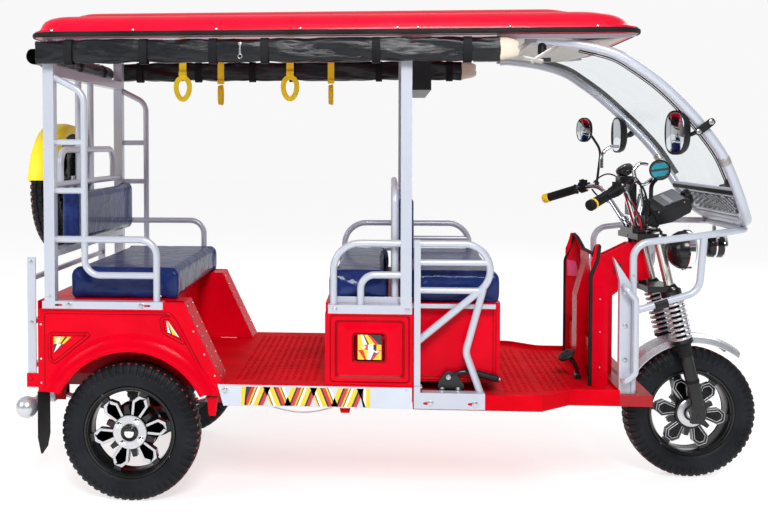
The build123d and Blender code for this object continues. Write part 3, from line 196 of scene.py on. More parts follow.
# Plastics and rubbers
BLACK_PLASTIC = plain("black_plastic", (0.009, 0.009, 0.011), 0.4, variation=0.25, grain=400,
                      bump_strength=0.25, specular=0.3)
RUBBER = plain("black_rubber", (0.01, 0.01, 0.011), 0.6, variation=0.3, grain=180, bump_strength=0.3,
               specular=0.15)
TYRE = plain("tyre_rubber", (0.008, 0.009, 0.012), 0.5, variation=0.35, grain=90, bump_strength=0.35,
             bump_size=0.0006, specular=0.16)
RED_DASH = plain("tyre_red_dash", (0.5, 0.03, 0.04), 0.5, variation=0.2, grain=200)
BEIGE = plain("off_white_liner", (0.62, 0.56, 0.46), 0.5, variation=0.08, grain=80)
BATTERY = plain("battery_case", (0.03, 0.03, 0.035), 0.5, variation=0.2, grain=200)
RED_LENS = plain("red_lens", (0.45, 0.005, 0.008), 0.12, coat=0.8, variation=0.1, grain=30)
TEAL = plain("teal_film", (0.02, 0.32, 0.42), 0.25, coat=0.5, variation=0.25, grain=18)
BLUE = plain("blue_switch", (0.01, 0.08, 0.5), 0.35, variation=0.1, grain=80)
SMOKED = plain("smoked_panel", (0.13, 0.14, 0.16), 0.12, coat=0.8, variation=0.15, grain=20,
               bump_strength=0.02)
# Webbing and vinyl
YELLOW = plain("yellow_webbing", (1.0, 0.62, 0.0), 0.6, variation=0.15, grain=500, bump_strength=0.5,
               bump_size=0.0006)
LEMON = plain("lemon_vinyl", (0.93, 0.74, 0.01), 0.4, variation=0.08, grain=120, bump_strength=0.3)
DARK_WEBBING = plain("dark_webbing", (0.006, 0.006, 0.008), 0.6, variation=0.3, grain=600, bump_strength=0.5,
                     specular=0.15)
# Stickers: the numbers that name these four in the sticker pieces are their places in this list
STICKERS = [plain("sticker_yellow", (0.85, 0.55, 0.01), 0.3, coat=0.3, variation=0.05),
            plain("sticker_white", (0.8, 0.8, 0.82), 0.3, coat=0.3, variation=0.03),
            plain("sticker_red", (0.6, 0.01, 0.02), 0.3, coat=0.3, variation=0.05),
            plain("sticker_black", (0.012, 0.012, 0.014), 0.3, coat=0.3, variation=0.1)]
STICKER_YELLOW, STICKER_WHITE, STICKER_RED, STICKER_BLACK = range(4)


def clear_sheet(name, colour, rough):
    """Thin clear acrylic: mostly see-through, with glossy streaks."""
    made, tree, shader = new_material(name)
    streaks = noise_node(tree, coordinates(tree), 9, 5)
    fill(tree, shader, {"Base Color": (0.75, 0.8, 0.84, 1),
                        "Roughness": span(tree, streaks, rough * 0.6, rough * 1.6)})
    clear = node(tree, "BsdfTransparent", {"Color": colour})
    mix = node(tree, "MixShader", {"Fac": span(tree, streaks, 0.0, 0.12)})
    tree.links.new(clear.outputs[0], mix.inputs[1])
    tree.links.new(shader.outputs[0], mix.inputs[2])
    tree.links.new(mix.outputs[0], tree.nodes["Material Output"].inputs["Surface"])
    return made


def film(name):
    """Navy vinyl under a loose clear film: gloss broken by many small creases."""
    made, tree, shader = new_material(name)
    vector = coordinates(tree)
    broad = noise_node(tree, vector, 5, 5, 0.6)
    navy = [(0.3, (0.006, 0.014, 0.075)), (0.55, (0.011, 0.025, 0.125)), (0.72, (0.035, 0.07, 0.26))]
    fill(tree, shader, {"Base Color": ramp(tree, broad, navy),
                        "Roughness": span(tree, noise_node(tree, vector, 22, 4), 0.2, 0.45),
                        "IOR": 1.2, "Specular IOR Level": 0.3, "Coat Weight": 0.3, "Coat Roughness": 0.08})
    ripples = noise_node(tree, vector, 6, 3, output="Color")
    mixed = node(tree, "VectorMath", {0: ripples, 1: (0.16, 0.16, 0.16), 2: vector}, operation="MULTIPLY_ADD")
    folds = node(tree, "TexVoronoi", {"Scale": 8, "Vector": mixed.outputs["Vector"]},
                 feature="DISTANCE_TO_EDGE")
    creases = [(0.0, (1, 1, 1)), (0.07, (0.25, 0.25, 0.25)), (0.2, (0, 0, 0))]
    bump(tree, shader, ramp(tree, folds.outputs["Distance"], creases), 0.5, 0.0035)
    bump(tree, shader, noise_node(tree, vector, 14), 0.4, 0.006)
    return made


def tarpaulin(name):
    """Black coated canvas with a soft sheen and a fine weave."""
    made, tree, shader = new_material(name)
    vector = coordinates(tree)
    black = [(0.3, (0.002, 0.0025, 0.004)), (0.7, (0.008, 0.009, 0.013))]
    fill(tree, shader, {"Base Color": ramp(tree, noise_node(tree, vector, 12, 4), black),
                        "Roughness": span(tree, noise_node(tree, vector, 40), 0.22, 0.42),
                        "Specular IOR Level": 0.35})
    bump(tree, shader, noise_node(tree, coordinates(tree, (6, 30, 30)), 1.6, 5, 0.6), 0.6, 0.006)
    bump(tree, shader, node(tree, "TexWave", {"Scale": 420, "Vector": vector}).outputs["Fac"], 0.08, 0.0003)
    return made


ACRYLIC = clear_sheet("clear_acrylic", (0.95, 0.965, 0.975, 1), 0.12)
SEAT = film("navy_vinyl_under_film")
CANVAS = tarpaulin("black_canvas")

FINISHES = {
    RED: ["rear_body_side_right", "rear_body_side_left", "rear_seat_base", "rear_panel",
          "bench_box", "leg_shield", "head_frame", "carrier_brackets"],
    FLOOR_RED: ["driver_floor", "floor_pan"],
    DARK_RED: ["chassis_frame"],
    SILL: ["sill_panels"],
    POWDER: ["rear_side_frame_right", "rear_side_frame_left", "mid_frame_right", "mid_frame_left",
             "driver_guard_right", "driver_guard_left", "rear_cross_frame",
             "middle_backrest_frame", "roof_frame", "front_guard", "luggage_carrier", "spare_bracket"],
    STEEL: ["leaf_springs"],
    EMBOSSED: ["front_screen"],
    SATIN: ["front_fender", "rear_bumper"],
    BLACK_PAINT: ["fork", "rear_axle"],
    BLACK_PLASTIC: ["overhead_box"],
    RUBBER: ["mudflaps"],
    BEIGE: ["roof_liner"],
    BATTERY: ["battery_pack"],
    RED_LENS: ["tail_lamps"],
    ACRYLIC: ["windshield_glass"],
}


def finish_nodes():
    """Gives each CAD node that stays its finish."""
    for finish, names in FINISHES.items():
        for name in names:
            mesh = nodes[name].data
            mesh.materials.clear()
            mesh.materials.append(finish)


# --- Stage: floor, light and camera --------------------------------------------------------
def stage():
    """A pale floor that runs up to a pale backdrop, soft lights and the camera."""
    paint, tree, shader = new_material("pale_floor")
    greys = [(0.3, (0.5, 0.5, 0.5)), (0.7, (0.53, 0.53, 0.53))]
    fill(tree, shader, {"Base Color": ramp(tree, noise_node(tree, coordinates(tree), 3, 2), greys),
                        "Roughness": 0.8, "Emission Color": (1, 1, 1, 1), "Emission Strength": 0.67})
    mesh = bpy.data.meshes.new("floor")
    mesh.from_pydata([(-30, -30, 0), (30, -30, 0), (30, 30, 0), (-30, 30, 0)], [], [(0, 1, 2, 3)])
    mesh.materials.append(paint)
    floor = bpy.data.objects.new("floor", mesh)
    bpy.context.collection.objects.link(floor)

    world = bpy.data.worlds.new("studio")
    world.use_nodes = True
    tree = world.node_tree
    source = tree.nodes.new("ShaderNodeTexCoord").outputs["Generated"]
    split = node(tree, "SeparateXYZ", {0: source}).outputs
    behind = node(tree, "MapRange", {"Value": split["Y"], "From Min": -0.35, "From Max": 0.45, "To Min": 0.08,
                                     "To Max": 0.6}, interpolation_type="SMOOTHSTEP").outputs["Result"]
    above = node(tree, "MapRange", {"Value": split["Z"], "From Min": 0.35, "From Max": 0.95, "To Min": 0.0,
                                    "To Max": 0.6}).outputs["Result"]
    total = node(tree, "Math", {0: behind, 1: above}, operation="MAXIMUM").outputs[0]
    path = tree.nodes.new("ShaderNodeLightPath").outputs["Is Camera Ray"]
    seen = node(tree, "Mix", {"Factor": path, "A": total, "B": 0.94}).outputs["Result"]
    fill(tree, tree.nodes["Background"], {"Strength": seen, "Color": (1, 1, 1, 1)})
    bpy.context.scene.world = world
    for name, place, aim, size, power in (("key", (0.5, -5.5, 4.6), (0, 0, 0.8), 2.2, 330),
                                          ("fill", (-4.5, -3.0, 3.0), (0, 0, 0.9), 2.5, 80),
                                          ("rim", (3.5, 4.5, 4.5), (0, 0, 1.0), 3.5, 90)):
        lamp = bpy.data.lights.new(name, "AREA")
        lamp.shape = "DISK"
        lamp.size = size
        lamp.energy = power
        holder = bpy.data.objects.new(name, lamp)
        bpy.context.collection.objects.link(holder)
        holder.location = place
        holder.rotation_euler = (Vector(aim) - Vector(place)).to_track_quat("-Z", "Y").to_euler()

    camera = bpy.data.cameras.new("camera")
    camera.lens = 46.82
    camera.sensor_width = 36
    camera.shift_x = 0.0938
    camera.shift_y = -0.0996
    holder = bpy.data.objects.new("camera", camera)
    bpy.context.collection.objects.link(holder)
    holder.location = at(921.25, -3939.8, 1280.9)
    holder.rotation_euler = (math.radians(88), 0, math.radians(4.37))
    bpy.context.scene.camera = holder
    bpy.context.scene.view_settings.view_transform = "Standard"


# --- Building meshes: places are points in metres, and every size given is in millimetres ----
class Shape:
    """Points and faces of one piece, gathered from simple forms; each face keeps its finish's number."""

    def __init__(self):
        """Starts with nothing in it."""
        self.points, self.faces, self.marks = [], [], []

    def add(self, points, faces, mark=0):
        """Adds points and the faces between them."""
        base = len(self.points)
        self.points.extend(Vector(p) for p in points)
        self.faces.extend([base + i for i in face] for face in faces)
        self.marks.extend([mark] * len(faces))

    def rows(self, rows, mark=0, wrap=True, caps=True):
        """Quads between successive loops of points, with the end loops closed by one face each."""
        count = len(rows[0])
        faces = []
        for row in range(len(rows) - 1):
            here, there = row * count, (row + 1) * count
            for step in range(count if wrap else count - 1):
                after = (step + 1) % count
                faces.append((here + step, here + after, there + after, there + step))
        if caps:
            faces.append(list(range(count))[::-1])
            faces.append([(len(rows) - 1) * count + step for step in range(count)])
        self.add([point for row in rows for point in row], faces, mark)

    def lathe(self, origin, axis, profile, sides=32, mark=0, caps=True):
        """A profile of (radius, height) pairs turned about an axis."""
        axis = Vector(axis).normalized()
        side = axis.orthogonal().normalized()
        other = axis.cross(side)
        turns = circle(1, sides)
        self.rows([[origin + (axis * height + (side * c + other * s) * radius) * MM for c, s in turns]
                   for radius, height in profile], mark, True, caps)

    def rod(self, start, end, radius, sides=16, mark=0):
        """A straight round bar."""
        self.lathe(start, end - start, [(radius, 0), (radius, (end - start).length / MM)], sides, mark)

    def sweep(self, path, section, mark=0, up=None, closed=False):
        """A section of (across, upward) offsets carried along a path of points."""
        rows, across = [], None
        for index, point in enumerate(path):
            ahead = along(path, index, closed)
            if up is not None:
                across = ahead.cross(up).normalized()
            elif across is None:
                across = ahead.orthogonal().normalized()
            else:
                across = (across - ahead * across.dot(ahead)).normalized()
            over = across.cross(ahead)
            rows.append([point + (across * a + over * b) * MM for a, b in section])
        self.rows(rows + rows[:1] if closed else rows, mark, True, not closed)

    def slab(self, outline, depth, mark=0):
        """A flat outline given thickness."""
        self.rows([outline, [p + Vector(depth) * MM for p in outline]], mark)

    def plate(self, y, points, depth, mark=0):
        """A slab standing along the vehicle: (x, z) points at y, with its thickness along y."""
        self.slab(upright(y, points), (0, depth, 0), mark)

    def block(self, low, high, mark=0):
        """A box between two corners."""
        (a, b, c), (d, e, f) = low, high
        self.slab([Vector(p) for p in ((a, b, c), (d, b, c), (d, e, c), (a, e, c))],
                  (0, 0, (f - c) / MM), mark)

    def bolt(self, place, direction, radius=6, mark=0):
        """A washer and a hexagonal head on it."""
        direction = Vector(direction).normalized()
        self.lathe(place, direction, [(radius * 1.55, 0), (radius * 1.55, radius * 0.22),
                                      (radius * 1.4, radius * 0.3)],
                   20, mark)
        self.lathe(place + direction * radius * 0.3 * MM, direction,
                   [(radius, 0), (radius, radius * 0.55), (radius * 0.85, radius * 0.72)], 6, mark)

    def dome(self, place, direction, radius=5, mark=0):
        """A round rivet or screw head."""
        self.lathe(place, direction, [(radius, 0), (radius * 0.92, radius * 0.3),
                                      (radius * 0.6, radius * 0.55),
                                      (radius * 0.15, radius * 0.65)], 14, mark)

    def make(self, name, body, finishes, slot, matrix=None, bevel=0, replaces=(), angle=38):
        """Turns the shape into a piece that rides on a body."""
        mesh = bpy.data.meshes.new(name)
        mesh.from_pydata([tuple(p) for p in self.points], [], self.faces)
        for finish in finishes:
            mesh.materials.append(finish)
        mesh.polygons.foreach_set("material_index", self.marks)
        if matrix is not None:
            mesh.transform(matrix)
        edit = bmesh.new()
        edit.from_mesh(mesh)
        bmesh.ops.recalc_face_normals(edit, faces=edit.faces)
        edit.to_mesh(mesh)
        edit.free()
        mesh.shade_smooth()
        mesh.set_sharp_from_angle(angle=math.radians(angle))
        piece = bpy.data.objects.new(name, mesh)
        bpy.context.collection.objects.link(piece)
        if bevel:
            edge = piece.modifiers.new("edge", "BEVEL")
            edge.width = bevel * MM
            edge.segments = 2
            edge.limit_method = "ANGLE"
            edge.angle_limit = math.radians(40)
        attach(piece, body)
        if replaces:
            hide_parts(*replaces)
        return piece


def along(path, index, closed=False):
    """The direction of a path at one of its points."""
    before = path[index - 1] if index or closed else path[index]
    after = path[(index + 1) % len(path)] if index < len(path) - 1 or closed else path[index]
    return (after - before).normalized()


def circle(radius, sides=12):
    """A round section."""
    return [(radius * math.cos(2 * math.pi * i / sides), radius * math.sin(2 * math.pi * i / sides))
            for i in range(sides)]


def superellipse(c, s, power):
    """The cosine and sine of a turn, pushed out towards a rounded rectangle."""
    return math.copysign(abs(c) ** (2 / power), c), math.copysign(abs(s) ** (2 / power), s)


def oval(wide, tall, power=2.0, sides=24):
    """An oval or rounded rectangle section: half width, half height and how square it is."""
    turns = [superellipse(c, s, power) for c, s in circle(1, sides)]
    return [(wide * c, tall * s) for c, s in turns]


def through(points, steps=6):
    """A smooth line through points."""
    last = len(points) - 1
    made = []
    for index in range(last):
        a, b, c, d = (points[min(max(index + k, 0), last)] for k in (-1, 0, 1, 2))
        for step in range(steps):
            t = step / steps
            made.append(0.5 * (2 * b + (c - a) * t + (2 * a - 5 * b + 4 * c - d) * t * t
                               + (3 * b - a - 3 * c + d) * t ** 3))
    return made + [points[-1]]


def rounded(points, radius, steps=6, closed=False):
    """Straight runs with their corners rounded."""
    count = len(points)
    made = []
    for index, corner in enumerate(points):
        if not closed and index in (0, count - 1):
            made.append(corner)
            continue
        into, away = points[index - 1] - corner, points[(index + 1) % count] - corner
        reach = min(radius * MM, into.length * 0.49, away.length * 0.49)
        start, stop = corner + into.normalized() * reach, corner + away.normalized() * reach
        for step in range(steps + 1):
            t = step / steps
            made.append(start * (1 - t) ** 2 + corner * 2 * t * (1 - t) + stop * t * t)
    return made


# What rides on the steering body is shaped straight ahead, and then turned with it
steering_joint = next(joint for joint in frame["joints"] if joint["name"] == "steering")
STEER_AT = Vector(steering_joint["pos_m"])
STEER_REST = math.radians(4.5)
STEER = (Matrix.Translation(STEER_AT) @ Matrix.Rotation(STEER_REST, 4, Vector(steering_joint["axis"]))
         @ Matrix.Translation(-STEER_AT))


# --- Tyres and wheels ------------------------------------------------------------------------
LUGS = 56
LUG_STEPS = 8
SIDEWALL, SHOULDER, LUG_TIP, EDGE_BLOCK, BLOCK, GROOVE = range(6)
TREAD_ROWS = [(y, radius, kind) for kind, row in (
    (SIDEWALL, ((36, 166.6), (39.5, 168), (42, 171.5), (42.6, 174), (43.8, 176), (44.6, 182),
                (45.4, 186), (46.4, 187), (46.8, 194), (46.4, 196), (47.2, 202), (47.3, 205))),
    (SHOULDER, ((47.2, 207), (46.8, 214), (45.8, 222), (43.5, 230), (40, 237), (36, 242.5), (32.5, 246))),
    (LUG_TIP, ((29, 248.4), (26, 249.4))), (EDGE_BLOCK, ((19, 249.8),)), (BLOCK, ((14, 250),)),
    (GROOVE, ((12.8, 250), (9.2, 250))), (BLOCK, ((8, 250), (3, 250)))) for y, radius in row]


def tread_cut(kind, radius, place, step):
    """How deep a tread row is cut, towards the axle and towards the middle, at a place round a lug."""
    if kind == SHOULDER and place < 3:
        deep = 4.2 * min(1, (radius - 205) / 8)
        return deep * 0.55, deep * 0.75
    if kind == LUG_TIP and place < 3:
        return 4.6, 1.5
    if kind == EDGE_BLOCK and place in (1, 2):
        return 4.6, 0.0
    if kind == BLOCK and (step + 2) % LUG_STEPS == 0:
        return 3.0, 0.0
    return (6.0 if kind == GROOVE else 0.0), 0.0


def tyre(name, matrix, body, replaces):
    """A tyre about the Y axis: plain sidewalls, lugs over the shoulders and three rows of blocks."""
    around = LUGS * LUG_STEPS
    rows = [(y, r, kind, 1) for y, r, kind in TREAD_ROWS] + [(-y, r, kind, -1)
                                                             for y, r, kind in reversed(TREAD_ROWS)]
    turns = circle(1, around)
    shape = Shape()
    for row, (y, r, kind, side) in enumerate(rows):
        here, there = row * around, (row + 1) % len(rows) * around
        lug_root = {kind, rows[(row + 1) % len(rows)][2]} == {SHOULDER, LUG_TIP}
        for step, (c, s) in enumerate(turns):
            place = step % LUG_STEPS if side > 0 else (step + 4) % LUG_STEPS
            cut_r, cut_y = tread_cut(kind, r, place, step)
            zig = 1.6 * (abs(((step / LUG_STEPS) % 2) - 1) - 0.5) * 2 if kind in (BLOCK, GROOVE) else 0
            radius = (r - cut_r) * MM
            shape.points.append(Vector((radius * c, (y - side * cut_y + zig) * MM, radius * s)))
            after = (step + 1) % around
            shape.faces.append([here + step, here + after, there + after, there + step])
            shape.marks.append(1 if lug_root and place in (4, 5) else 0)
    shape.make(name, body, [TYRE, RED_DASH], "tyre", matrix, replaces=replaces, angle=32)


def loop_band(degrees, outer, inner, tip_out, root):
    """One wheel loop's band in the wheel's plane: its outside and its inside, each from root to root."""
    out, across = wheel_turn(degrees)
    tip_in = 123
    outside = [(root, outer - 12), (108, outer), (tip_out, outer - 15)]
    inside = [(root, inner - 12), (106, inner), (tip_in, inner - 13)]
    return [[(out * a + across * b) * MM for a, b in line + [(a, -b) for a, b in reversed(line)]]
            for line in (outside, inside)]


def alloy(name, matrix, body, outward, first, finishes, replaces=(), bolts=True):
    """A cast wheel about the Y axis: black rim and loops with machined faces, a bright hub and a cap."""
    face = Vector((0, outward, 0))
    centre = Vector((0, 0, 0))
    shape = Shape()

    def spoke(degrees, near, far, half_near, half_far, lift, thick):
        """A flat spoke between two distances from the axle."""
        out, across = wheel_turn(degrees)
        ends = ((near, -half_near), (near, half_near), (far, half_far), (far, -half_far))
        shape.slab([(out * a + across * b + face * lift) * MM for a, b in ends], face * thick)

    rim = [(146, -41), (165, -41.5), (166, -39), (165, -37), (153, -34), (151.5, 0), (153, 34),
           (165, 37), (166, 39), (164.5, 41.5), (159, 40.5), (152, 30), (147, 20), (145.5, 0), (145.5, -30)]
    shape.lathe(centre, face, rim, 96, 0, False)
    for index in range(6):
        angle = first + 60 * index
        for ring_in, ring_out, low, high, mark in ((19.5, 30.5, 0.0, 26.0, 0), (20.5, 29.5, 25.6, 27.6, 1)):
            outside, inside = loop_band(angle, ring_out, ring_in, 132.5 if mark else 134, 60)
            inside.reverse()
            # Each slab reaches across to the loop's other side, so the openings are closed
            for a, b, c, d in zip(outside, outside[1:], inside[1:], inside):
                shape.slab([p + face * low * MM for p in (a, b, c, d)], face * (high - low), mark)
        spoke(angle, 131, 149, 11, 14.3, 2, 21)
        spoke(angle + 30, 55, 92, 12.8, 8, 1, 22)
    hub = ((1, ((46, -13), (60, 2), (64, 26), (62, 30.5)), 64, 0),
           (1, ((61, 30), (61, 34.5), (59.5, 36), (40, 36.4)), 64, 1),
           (1, ((32, 36), (31, 42), (27, 44), (20, 41)), 48, 0),
           (1, ((17.5, 40), (17, 45), (12, 47.4), (4, 47.9)), 32, 2),
           (-1, ((32, 10), (32, 46), (28, 47.5)), 32, 0))
    for way, profile, sides, mark in hub:
        shape.lathe(centre, face * way, profile, sides, mark)
    for index in range(4 if bolts else 0):
        out, _ = wheel_turn(57 + 90 * index)
        shape.bolt((out * 47 + face * 36) * MM, face, 7.5, 2)
    shape.make(name, body, finishes, "wheel_alloy", matrix, replaces=replaces, angle=34)


def fit_wheels():
    """Tyres and wheels on the rear axle, in the fork and on the back."""
    bright, first_front = [BLACK_PAINT, ALLOY, CHROME], -9
    for side, sign in SIDES.items():
        place, wheel = Matrix.Translation(at(0, 420 * sign, 250)), f"rear_wheel_{side}"
        tyre(f"tyre_rear_{side}", place, wheel, (f"rear_tyre_{side}",))
        alloy(f"alloy_rear_{side}", place, wheel, sign, 10 if sign < 0 else 170, bright, (wheel,))
    place = STEER @ Matrix.Translation(at(2083, 0, 250))
    tyre("tyre_front", place, "front_wheel", ("front_tyre",))
    alloy("alloy_front", place, "front_wheel", -1, first_front, [BLACK_PAINT, BLACK_PAINT, CHROME],
          ("front_wheel",), False)
    edges = Shape()
    for index in range(6):
        for line in loop_band(first_front + 60 * index, 30.5, 21.5, 132.5, 62):
            line = [p - LEFT * 27.8 * MM for p in line]
            for a, b in zip(line, line[1:]):
                edges.rod(a, b, 1.3, sides=6)
    edges.lathe(Vector((0, 0, 0)), -LEFT, [(54, 30), (54, 38), (50, 41), (30, 42)], 48)
    edges.make("alloy_front_edges", "front_wheel", [ALLOY], "wheel_alloy", place)
    place = Matrix.Translation(at(-396, 0, 1110)) @ Matrix.Rotation(math.radians(90), 4, "Z")
    tyre("tyre_spare", place, "body", ("spare_wheel",))
    alloy("alloy_spare", place, "body", 1, 0, bright)


# --- Seats -----------------------------------------------------------------------------------
def settle(piece):
    """Applies a piece's modifiers to its mesh."""
    graph = bpy.context.evaluated_depsgraph_get()
    made = bpy.data.meshes.new_from_object(piece.evaluated_get(graph))
    piece.modifiers.clear()
    old = piece.data
    piece.data = made
    bpy.data.meshes.remove(old)


def swell_up(pad):
    """Blows a pad up with cloth pressure over twenty frames."""
    cloth = pad.modifiers.new("cloth", "CLOTH")
    cloth.settings.use_pressure = True
    cloth.settings.uniform_pressure_force = 4
    cloth.settings.quality = 5
    cloth.settings.effector_weights.gravity = 0
    cloth.settings.mass = 0.3
    cloth.settings.tension_stiffness = 12
    cloth.point_cache.frame_start = 1
    cloth.point_cache.frame_end = 20
    for step in range(1, 21):
        bpy.context.scene.frame_set(step)
    settle(pad)
    bpy.context.scene.frame_set(1)


def cushion(name, low, high, stands_for, flat_axis=2, swell=0.016, cap=0.022):
    """A stuffed pad between two corners: swollen by cloth pressure, flat on the side that rests."""
    low, high = Vector(low), Vector(high)
    shrink = Vector((swell * 0.55,) * 3)
    inner_low = low + shrink
    inner_low[flat_axis] = low[flat_axis] + 0.001
    shape = Shape()
    shape.block(inner_low, high - shrink)
    mesh = bpy.data.meshes.new(name)
    mesh.from_pydata([tuple(p) for p in shape.points], [], shape.faces)
    edit = bmesh.new()
    edit.from_mesh(mesh)
    bmesh.ops.recalc_face_normals(edit, faces=edit.faces)
    bmesh.ops.bevel(edit, geom=list(edit.edges), offset=0.022, segments=4, affect="EDGES", profile=0.6)
    edit.to_mesh(mesh)
    edit.free()
    pad = bpy.data.objects.new(name, mesh)
    bpy.context.collection.objects.link(pad)
    remesh = pad.modifiers.new("remesh", "REMESH")
    remesh.mode = "VOXEL"
    remesh.voxel_size = 0.008
    settle(pad)
    start = [vertex.co.copy() for vertex in pad.data.vertices]
    swell_up(pad)
    half, middle = (high - low) / 2, (low + high) / 2
    wide = [k for k in range(3) if k != flat_axis]
    for vertex, home in zip(pad.data.vertices, start):
        moved = vertex.co - home
        if moved.length > cap:
            moved = moved.normalized() * cap
        place = home + moved
        share = [abs((place - middle)[k]) / half[k] for k in range(3)]
        crown = max(0.0, 1 - share[wide[0]] ** 4) * max(0.0, 1 - share[wide[1]] ** 4)
        if place[flat_axis] > middle[flat_axis]:
            place[flat_axis] += crown * swell * 0.35
        ripple = noise.noise(place * 16) * 0.5 + noise.noise(place * 34 + Vector((7, 3, 1))) * 0.5
        out = [(place - middle)[k] / half[k] for k in range(3)]
        strongest = max(range(3), key=lambda k: abs(out[k]))
        place[strongest] += math.copysign(ripple * 0.0028, out[strongest])
        vertex.co = [min(max(place[k], low[k]), high[k]) for k in range(3)]
    smooth = pad.modifiers.new("smooth", "SUBSURF")
    smooth.levels = smooth.render_levels = 1
    settle(pad)
    pad.data.shade_smooth()
    pad.data.materials.append(SEAT)
    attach(pad, "body")
    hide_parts(stands_for)


def fit_seats():
    """The rear seat, the two halves of the bench and both backrests."""
    low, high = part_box("rear_seat_cushion")
    cushion("rear_seat_pad", low + LEFT * 0.0005, high, "rear_seat_cushion")
    cushion("rear_back_pad", *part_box("rear_backrest"), "rear_backrest", 0, 0.012, 0.014)
    cushion("middle_back_pad", *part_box("middle_backrest"), "middle_backrest", 0, 0.012, 0.014)
    low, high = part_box("bench_cushions")
    gap_rear, gap_front = at(933.2, 0, 0).x, at(958.8, 0, 0).x
    cushion("bench_pad_rear", low, (gap_rear, high.y, high.z), "bench_cushions")
    cushion("bench_pad_front", (gap_front, low.y, low.z), high, "bench_cushions")


# --- Curtain rolls ----------------------------------------------------------------------------
STRAP_PLACES = (-193, 72, 316, 496, 879, 1188)


def wound(name, start, stop, half_wide, half_tall, power, pitch, turns, sag=7.5, pinches=(), replaces=()):
    """A curtain wound up from start to stop: a spiral sheet whose outer turns bulge between its straps."""
    run = stop - start
    length = run.length
    side = UP.cross(run.normalized()).normalized()
    stations = max(40, int(length / 0.012))
    per_turn = 36
    rows = []
    for station in range(stations + 1):
        place = length * station / stations
        pinch = max([math.exp(-((place - strap * MM) / 0.032) ** 2) for strap in pinches] or [0])
        loop = []
        for step in range(int(turns * per_turn) + 1):
            turn = step / per_turn
            angle = 2 * math.pi * turn + math.pi * 0.5
            c, s = math.cos(angle), math.sin(angle)
            wave = (noise.noise(Vector((place * 7 + s * 1.3, c * 1.5, turn * 0.5))) * sag
                    + noise.noise(Vector((place * 19 - s * 2.6, c * 2.4, 9.0 + turn))) * sag * 0.6)
            wave = min(0.0, wave * (1 - 0.6 * pinch) - sag * 0.35) - 2.8 * pinch - turn * pitch
            c, s = superellipse(c, s, power)
            reach = side * c * (half_wide + wave) + UP * s * (half_tall + wave)
            loop.append(start + run * (station / stations) + reach * MM)
        rows.append(loop)
    shape = Shape()
    shape.rows(rows, 0, False, False)
    roll = shape.make(name, "body", [CANVAS], "tarpaulin", replaces=replaces, angle=60)


def fit_side_roll(side, sign):
    """One side's roll with its straps, zip and cut front end."""
    mid_y, mid_z, rear, front = sign * 503.8, 1605, -309, 1296 if sign < 0 else 1240
    wound(f"curtain_roll_{side}", *spots((rear, mid_y, mid_z), (front, mid_y, mid_z)), 26.2, 44.5,
          2.8, 3.8, 4.6, pinches=[place - rear for place in STRAP_PLACES], replaces=("curtain_rolls",))
    straps = Shape()
    for place in STRAP_PLACES:
        middle = at(place, mid_y, mid_z - 1.0)
        loop = [middle + Vector((0, a * 0.93, b * 0.96)) * MM for a, b in oval(27.4, 45.6, 3.2, 40)]
        rows = [[p + AHEAD * a * MM + (p - middle).normalized() * b * MM for p in loop]
                for a, b in ((-14, -0.9), (14, -0.9), (14, 0.9), (-14, 0.9), (-14, -0.9))]
        straps.rows(rows, caps=False)
    straps.make(f"curtain_straps_{side}", "body", [DARK_WEBBING, BLACK_PLASTIC], "tarpaulin")
    zips = Shape()
    zips.lathe(at(413, mid_y + sign * 23.5, mid_z + 22), (0, sign, 0), [(6, 0), (6, 2.4), (4, 3.4)], 16)
    zips.plate(mid_y + sign * 25.6,
               [(x, mid_z + z) for x, z in ((410, 16), (416, 16), (417, -14), (409, -14))],
               sign * 1.4)
    pull = at(413, mid_y + sign * 26.6, mid_z - 21)
    zips.sweep([pull + Vector((a, 0, b)) * MM for a, b in circle(7, 18)], circle(1.1, 6), closed=True)
    zips.make(f"curtain_zip_{side}", "body", [STEEL], "tarpaulin", bevel=0.5)
    end = Shape()
    rows = []
    for depth, scale in ((0, 0.9), (18, 0.86), (46, 0.74), (60, 0.6), (62, 0.52), (40, 0.5), (4, 0.42)):
        middle = at(front + 1 + depth, mid_y, mid_z + (2 if depth else 0))
        rows.append([middle + Vector((noise.noise(Vector((a * 0.06, b * 0.06, depth))) * 6, a * scale,
                                      b * scale)) * MM
                     for a, b in oval(25.8, 43.5, 2.6, 36)])
    end.rows(rows)
    end.make(f"curtain_end_{side}", "body", [BEIGE], "tarpaulin", angle=60)


def fit_curtains():
    """The side and rear rolls under the roof, their straps, zips and cut ends."""
    for side, sign in SIDES.items():
        fit_side_roll(side, sign)
    back_x, back_z = -334.3, 1596
    wound("curtain_roll_back", *spots((back_x, -462, back_z), (back_x, 462, back_z)), 32.5, 32.5,
          2.0, 3.5, 6.0, 3)
    straps = Shape()
    for place in (-330, 0, 330):
        straps.rows([[at(back_x + u * r, place + y, back_z + v * r) for u, v in circle(1, 36)]
                     for y, r in ((-14, 32.9), (14, 32.9), (14, 33.9), (-14, 33.9), (-14, 32.9))], caps=False)
    straps.make("curtain_straps_back", "body", [DARK_WEBBING], "tarpaulin")


